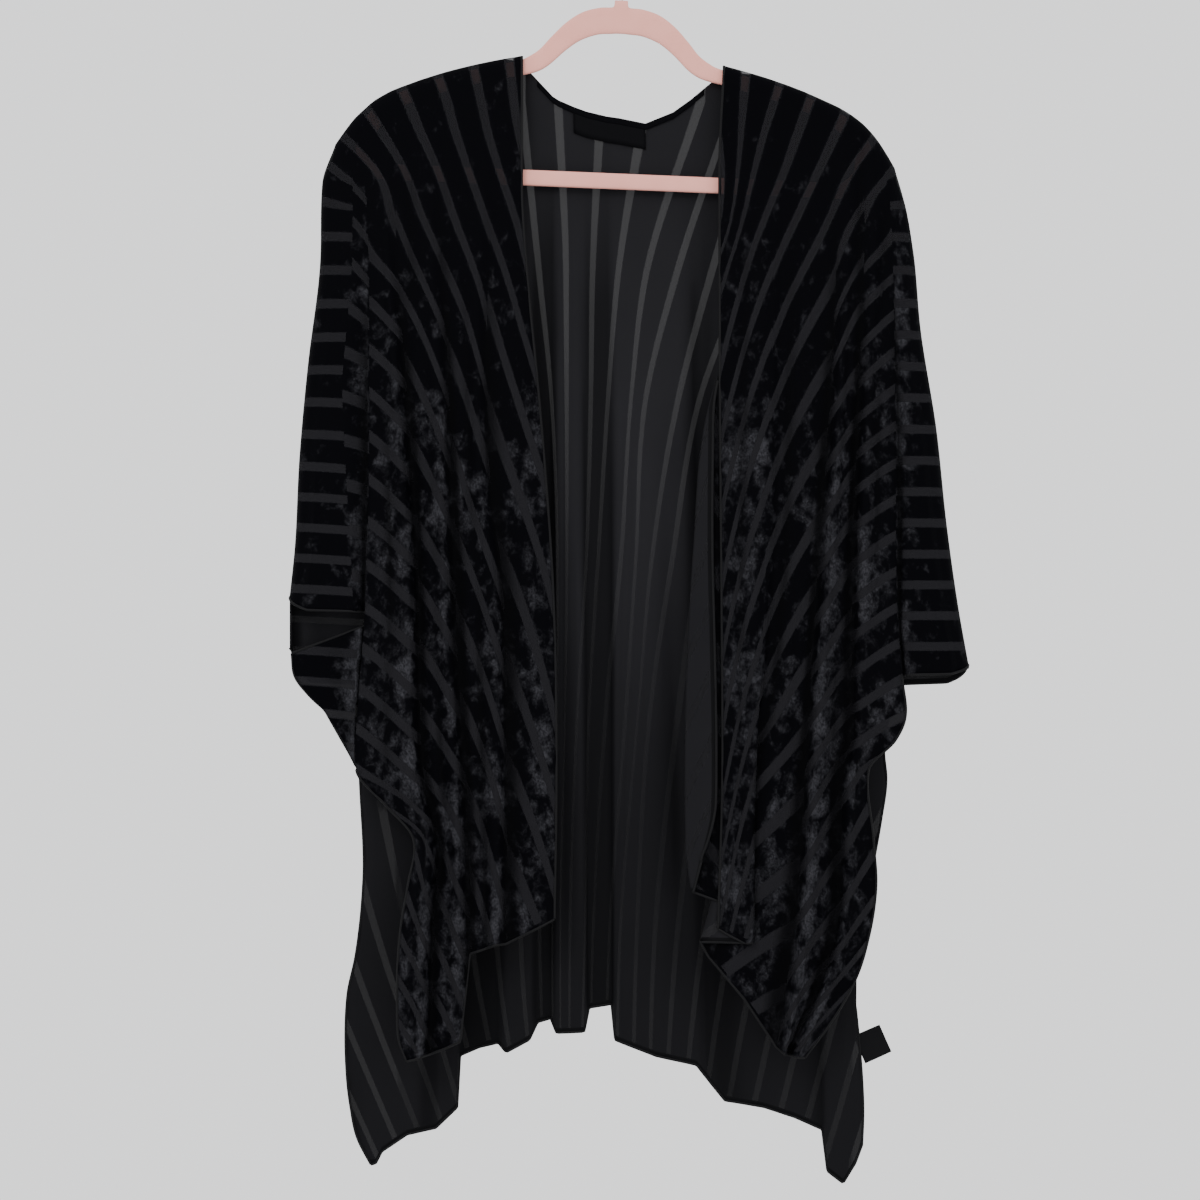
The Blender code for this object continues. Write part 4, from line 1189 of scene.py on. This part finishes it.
# Ripples of the loose edge: depth and length of two waves.
LAPEL_RIPPLES = [(0.5, 23), (0.3, 9.1)]
LAPEL_HANGS_OUT = 0.9
LAPEL_STRIPES = 1.6
# The lapel's painted sheen, veil, painted shade and painted backlight in its stripes.
LAPEL_LOOK = {"crushed_pile_sheen": 0.5, "veil": 0.85, "shade": 0.62, "sheer_backlight": 0.3}


def lapel_surface():
    """The strip as rows from the front's edge in to the fold and back out to the serged edge.

    The part below the turn is a row of points from the front's edge to the fold, the turn is half a
    circle, and the outer part goes from the fold to the serged edge."""
    edge = fronts["wearer_left"][1][::-1, 0]
    rows = []
    for t in np.linspace(0, 1, LAPEL_ROWS):
        z_edge, z_fold, z_out = (LAPEL_TOP + (bottom - LAPEL_TOP) * t
                                 for bottom in (*LAPEL_UNDER_BOTTOM, LAPEL_OUTER_BOTTOM))
        s_fold = float(smooth_curve(LAPEL_FOLD, z_fold))
        s_out = float(smooth_curve(LAPEL_EDGE, z_out))
        y = float(np.interp(z_fold, edge[:, 2], edge[:, 1])) + LAPEL_BEHIND
        wide = min(LAPEL_TURN, max(LAPEL_LEAST_TURN, (s_out - s_fold) / 3))
        along = np.linspace(0, 1, LAPEL_FLAT_POINTS)
        row = [(s, y + 0.5 * wide, z_edge + (z_fold - z_edge) * f)
               for f, s in zip(along, np.linspace(LAPEL_ROOT, s_fold + wide, LAPEL_FLAT_POINTS))]
        for a in np.radians(LAPEL_TURN_DEG):
            row.append((s_fold + wide * (1 - math.sin(a)), y - wide * 0.5 + wide * math.cos(a), z_fold))
        ripple = sum(depth * math.sin(z_fold / length) for depth, length in LAPEL_RIPPLES)
        row += [(s, y - 1.5 * wide - LAPEL_HANGS_OUT * f * f + ripple * f, z_fold + (z_out - z_fold) * f)
                for f, s in zip(along, np.linspace(s_fold + wide, s_out, LAPEL_FLAT_POINTS))]
        rows.append(row)
    return np.array(rows)


points = lapel_surface()
at_edge = stripe_number(np.ones(len(points)), points[:, 0, 2], *stripes_of("wearer_left", "pleat"))
number = at_edge[:, None] + np.linspace(0, LAPEL_STRIPES, points.shape[1])
from_edge = np.abs(points[..., 0] - points[:, -1:, 0]) \
    + FAR * (np.arange(points.shape[1]) < LAPEL_OUTER_FIRST)
numbers = {name: np.full(points.shape[:2], value) for name, value in LAPEL_LOOK.items()}
numbers["from_hem"] = np.minimum(np.abs(points[..., 2] - points[-1, :, 2]), from_edge)
lapel = cloth_piece("lapel_wearer_left", points, all_cells(points), cell_corners(number), numbers,
                    [VELVET, REVERSE], flip=True)
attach(lapel, "root")
lapel_points = points

# Serged hems
# Every cut edge of the coat is overcast with black thread: a thin roll of slanting stitches round the
# edge of the cloth, drawn a little wavy by them.
HEM_HALF_WIDTH = 1.1
HEM_HALF_THICKNESS = 0.75
HEM_STEP = 2.4
HEM_SIDES = 8
# The two waves into which the stitches draw the roll: depth and length.
HEM_WAVES = [(0.35, 5.1), (0.25, 12.7)]
HEM_SEEDS = {"wearer_right": 3, "wearer_left": 4, "back": 9, "lapel": 12}
LAPEL_UNDER_LAST = 10
THREAD_COLOURS = [(0.0012, 0.0012, 0.0015), (0.006, 0.006, 0.007)]
# Turns of the stitches in radians for each metre along the roll and for each time round it.
THREAD_ALONG = 4200.0
THREAD_ROUND = 12.566


def along_path(path, step):
    """A path resampled at even steps."""
    gone = np.concatenate([[0], np.cumsum(np.linalg.norm(np.diff(path, axis=0), axis=1))])
    at = np.linspace(0, gone[-1], max(4, int(gone[-1] / step)))
    return np.stack([np.interp(at, gone, path[:, k]) for k in range(3)], axis=1), at


def serging():
    """Black overlock thread: slanting ridges round the roll."""
    made = Finish("serging_thread", 0.7, Specular_IOR_Level=0.15)
    split = made.tree.nodes.new("ShaderNodeSeparateXYZ")
    made.put(split.inputs[0], made.coordinates("UV"))
    turns = made.math("ADD", made.math("MULTIPLY", split.outputs["X"], THREAD_ALONG),
                      made.math("MULTIPLY", split.outputs["Y"], THREAD_ROUND))
    ridge = made.ramp(made.math("SINE", turns), -0.6, 1.0)
    colour = made.mix(ridge, *THREAD_COLOURS)
    return made.finish(Base_Color=colour, Normal=made.bump(ridge, 0.0003, 0.6))


THREAD = serging()


def hem(name, paths, seed):
    """Rolls along the given edges of one piece, in one mesh.

    A roll is an ellipse carried along the edge, with one axis across the edge in the plane of the
    cloth as it hangs, and it moves forward and back by half the sum of the waves."""
    rng = np.random.default_rng(seed)
    meshes = []
    for path in paths:
        line, at = along_path(path, HEM_STEP)
        (short, short_length), (long, long_length) = HEM_WAVES
        wave = short * np.sin(at / short_length + rng.uniform(0, 6)) + long * np.sin(at / long_length)
        line[:, 1] += wave * 0.5
        step = np.gradient(line, axis=0)
        step /= np.linalg.norm(step, axis=1, keepdims=True)
        left = np.stack([-step[:, 2], np.zeros(len(step)), step[:, 0]], axis=1)
        left /= np.maximum(np.linalg.norm(left, axis=1, keepdims=True), 0.05)
        out = np.cross(step, left)
        a = np.linspace(0, 2 * math.pi, HEM_SIDES, endpoint=False)[None, :, None]
        ring = line[:, None] + left[:, None] * np.cos(a) * HEM_HALF_WIDTH \
            + out[:, None] * np.sin(a) * HEM_HALF_THICKNESS
        uv = np.stack(np.broadcast_arrays(at[:, None] * MM, a[0, :, 0][None] / (2 * math.pi)), axis=2)
        meshes.append(grid_piece(name, ring, around=True, caps=True, uv=uv))
        meshes[-1].data.materials.append(THREAD)
    whole = meshes[0]
    with bpy.context.temp_override(active_object=whole, selected_editable_objects=meshes):
        bpy.ops.object.join()
    whole.name = name
    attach(whole, "root")
    return whole


for side, (front, points, breaks) in fronts.items():
    seam = breaks["side"]
    paths = [points[1:, 0], points[-1, :seam + 1], points[CUFF_ROW, seam:]]
    if side == "wearer_right":
        paths += [points[CUFF_ROW + 1, seam:], points[CUFF_ROW + 1:LOBE_ROW + 1, -1],
                  points[LOBE_ROW, seam:], points[LOBE_ROW:, seam]]
    else:
        paths.append(points[CUFF_ROW:, seam])
    with_pieces = [hem("hem_front_" + side, paths, HEM_SEEDS[side])]
    if side == "wearer_left":
        with_pieces.append(lapel)
right, left = back_breaks["side_right"], back_breaks["side_left"]
back_hem = hem("hem_back", [back_points[-1, right:left + 1], back_points[CUFF_ROW:, right],
                            back_points[CUFF_ROW:, left], back_points[CUFF_ROW, :right + 1],
                            back_points[CUFF_ROW, left:]], HEM_SEEDS["back"])
hem("hem_lapel", [lapel_points[2:, -1], lapel_points[-1, LAPEL_OUTER_FIRST:],
                  lapel_points[-1, :LAPEL_UNDER_LAST]], HEM_SEEDS["lapel"])

# Neck binding
# A narrow strip of the same cloth folded over the back neckline and topstitched.
# First and last row of the back's points, first and last of its lines, how far in front, and thickness.
BINDING_ROWS = (1, 6)
BINDING_LINES = (10, 20)
BINDING_OUT = 1.3
BINDING_THICKNESS = 0.9
BINDING_COLOURS = [(0.0008, 0.0008, 0.0013), (0.0030, 0.0030, 0.0038)]


def binding_look():
    """Near-black folded cloth with a fine rib."""
    made = Finish("neck_binding", 0.85, Specular_IOR_Level=0.03)
    rib = made.noise(made.coordinates("Object"), 1800.0, 2.0)
    colour = made.mix(rib, *BINDING_COLOURS)
    return made.finish(Base_Color=colour, Normal=made.bump(rib, 0.0002, 0.5))


def strip(name, points, thickness, look):
    """A strip of ribbon or cloth through a grid of points."""
    made = grid_piece(name, points)
    thicken(made, thickness)
    made.data.materials.append(look)
    return made


def inside_back(rows, lines, out):
    """The back's own points between two rows and two of its lines, moved out towards the viewer."""
    first, last = (back_breaks[k] for k in lines)
    return back_points[rows[0]:rows[1] + 1, first:last + 1] - [0, out, 0]


binding = strip("neck_band", inside_back(BINDING_ROWS, BINDING_LINES, BINDING_OUT), BINDING_THICKNESS,
                binding_look())
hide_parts("neck_binding")
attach(binding, "root")

# Neck label
# A black woven ribbon sewn on inside the neck, left bare.
LABEL_ROWS = (5, 12)
LABEL_LINES = (13, 17)
LABEL_OUT = 1.4
LABEL_COLOUR = (0.0013, 0.0013, 0.0018)
RIBBON_THICKNESS = 0.5


def ribbon(name, colour, roughness):
    """A woven ribbon: fine crosswise threads."""
    made = Finish(name, roughness, Specular_IOR_Level=0.05)
    weave = made.noise(made.scaled(made.coordinates("Object"), (1.0, 1.0, 6.0)), 900.0, 1.0)
    light = tuple(1.5 * c for c in colour)
    return made.finish(Base_Color=made.mix(weave, colour, light), Normal=made.bump(weave, 0.0001, 0.4))


label = strip("neck_ribbon", inside_back(LABEL_ROWS, LABEL_LINES, LABEL_OUT), RIBBON_THICKNESS,
              ribbon("black_ribbon", LABEL_COLOUR, 0.7))
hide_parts("neck_label")
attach(label, "root")

# Care label
# A satin ribbon sewn in the back's side seam near the hem, left bare. It sticks out to the side.
CARE = {"x": 199.5, "z": -941, "width": 20.0, "length": 25.0, "turn_deg": -24.0, "y": 14.85}
CARE_ROOT = -4.0
CARE_POINTS = 16
CARE_CURL = 1.2
CARE_CURL_WIDTH = 9
CARE_COLOUR = (0.0035, 0.0035, 0.0040)


def care_surface():
    """A flat ribbon turned in its own plane, with a slight curl towards its free end."""
    u, v = np.meshgrid(np.linspace(CARE_ROOT, CARE["width"], CARE_POINTS),
                       np.linspace(0, CARE["length"], CARE_POINTS) - CARE["length"] / 2)
    a = math.radians(CARE["turn_deg"])
    x = CARE["x"] + u * math.cos(a) + v * math.sin(a)
    z = CARE["z"] - u * math.sin(a) + v * math.cos(a)
    y = CARE["y"] - CARE_CURL * (u / CARE["width"]) ** 2 * np.sin(v / CARE_CURL_WIDTH)
    return np.stack([x, y, z], axis=2)


care = strip("care_ribbon_piece", care_surface(), RIBBON_THICKNESS,
             ribbon("care_ribbon", CARE_COLOUR, 0.5))
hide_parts("care_label")
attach(care, "root")

# Stage
# An even pale world as the backdrop and a matt floor well below, soft light from the front and the back,
# and the camera square to the coat at the height of its middle.
CAMERA_DISTANCE = 2.2
CAMERA_SENSOR = 36
FRAME_WIDTH = 0.996
CAMERA_AIM = (-0.02075, -0.5668)
FLOOR_Z = -1.75
FLOOR_REACH = 2.4
FLOOR_COLOUR = (0.60, 0.60, 0.60)
LIGHT_AIM = (0, 0, -0.55)
WORLD_COLOUR = (0.985, 0.99, 1.0, 1)
WORLD_STRENGTH = 1.45


def floor_paint():
    """A matt paint, a little uneven."""
    made = Finish("floor", 0.9)
    tone = made.noise(made.coordinates("Object"), 1.5, 2.0)
    return made.finish(Base_Color=made.mix(tone, FLOOR_COLOUR, tuple(0.985 * c for c in FLOOR_COLOUR)))


floor = grid_piece("floor", np.array([[(x, y, FLOOR_Z) for y in (FLOOR_REACH, -FLOOR_REACH)]
                                      for x in (-FLOOR_REACH, FLOOR_REACH)]) / MM)
floor.data.materials.append(floor_paint())
floor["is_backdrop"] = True


def soft_light(name, place, size, power):
    """A square area light that points at the middle of the coat."""
    data = bpy.data.lights.new(name, "AREA")
    data.size = size
    data.energy = power
    made = add_object(name, data)
    made.location = place
    x, y, z = np.array(LIGHT_AIM, float) - np.array(place, float)
    made.rotation_euler = (math.atan2(np.hypot(x, y), -z), 0, math.atan2(y, x) - math.pi / 2)


soft_light("key", (-1.1, -2.4, 0.9), 1.2, 34)
soft_light("fill", (1.7, -2.2, -0.1), 1.8, 10)
soft_light("back_light", (0.6, 2.6, 0.4), 1.8, 20)
world = bpy.data.worlds.new("room")
world.use_nodes = True
background = world.node_tree.nodes["Background"]
background.inputs["Color"].default_value = WORLD_COLOUR
background.inputs["Strength"].default_value = WORLD_STRENGTH
bpy.context.scene.world = world

camera_data = bpy.data.cameras.new("camera")
camera_data.sensor_width = CAMERA_SENSOR
camera_data.lens = CAMERA_SENSOR * CAMERA_DISTANCE / FRAME_WIDTH
camera = add_object("camera", camera_data)
camera.location = (CAMERA_AIM[0], -CAMERA_DISTANCE, CAMERA_AIM[1])
camera.rotation_euler = (math.pi / 2, 0, 0)
bpy.context.scene.camera = camera

low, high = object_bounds()
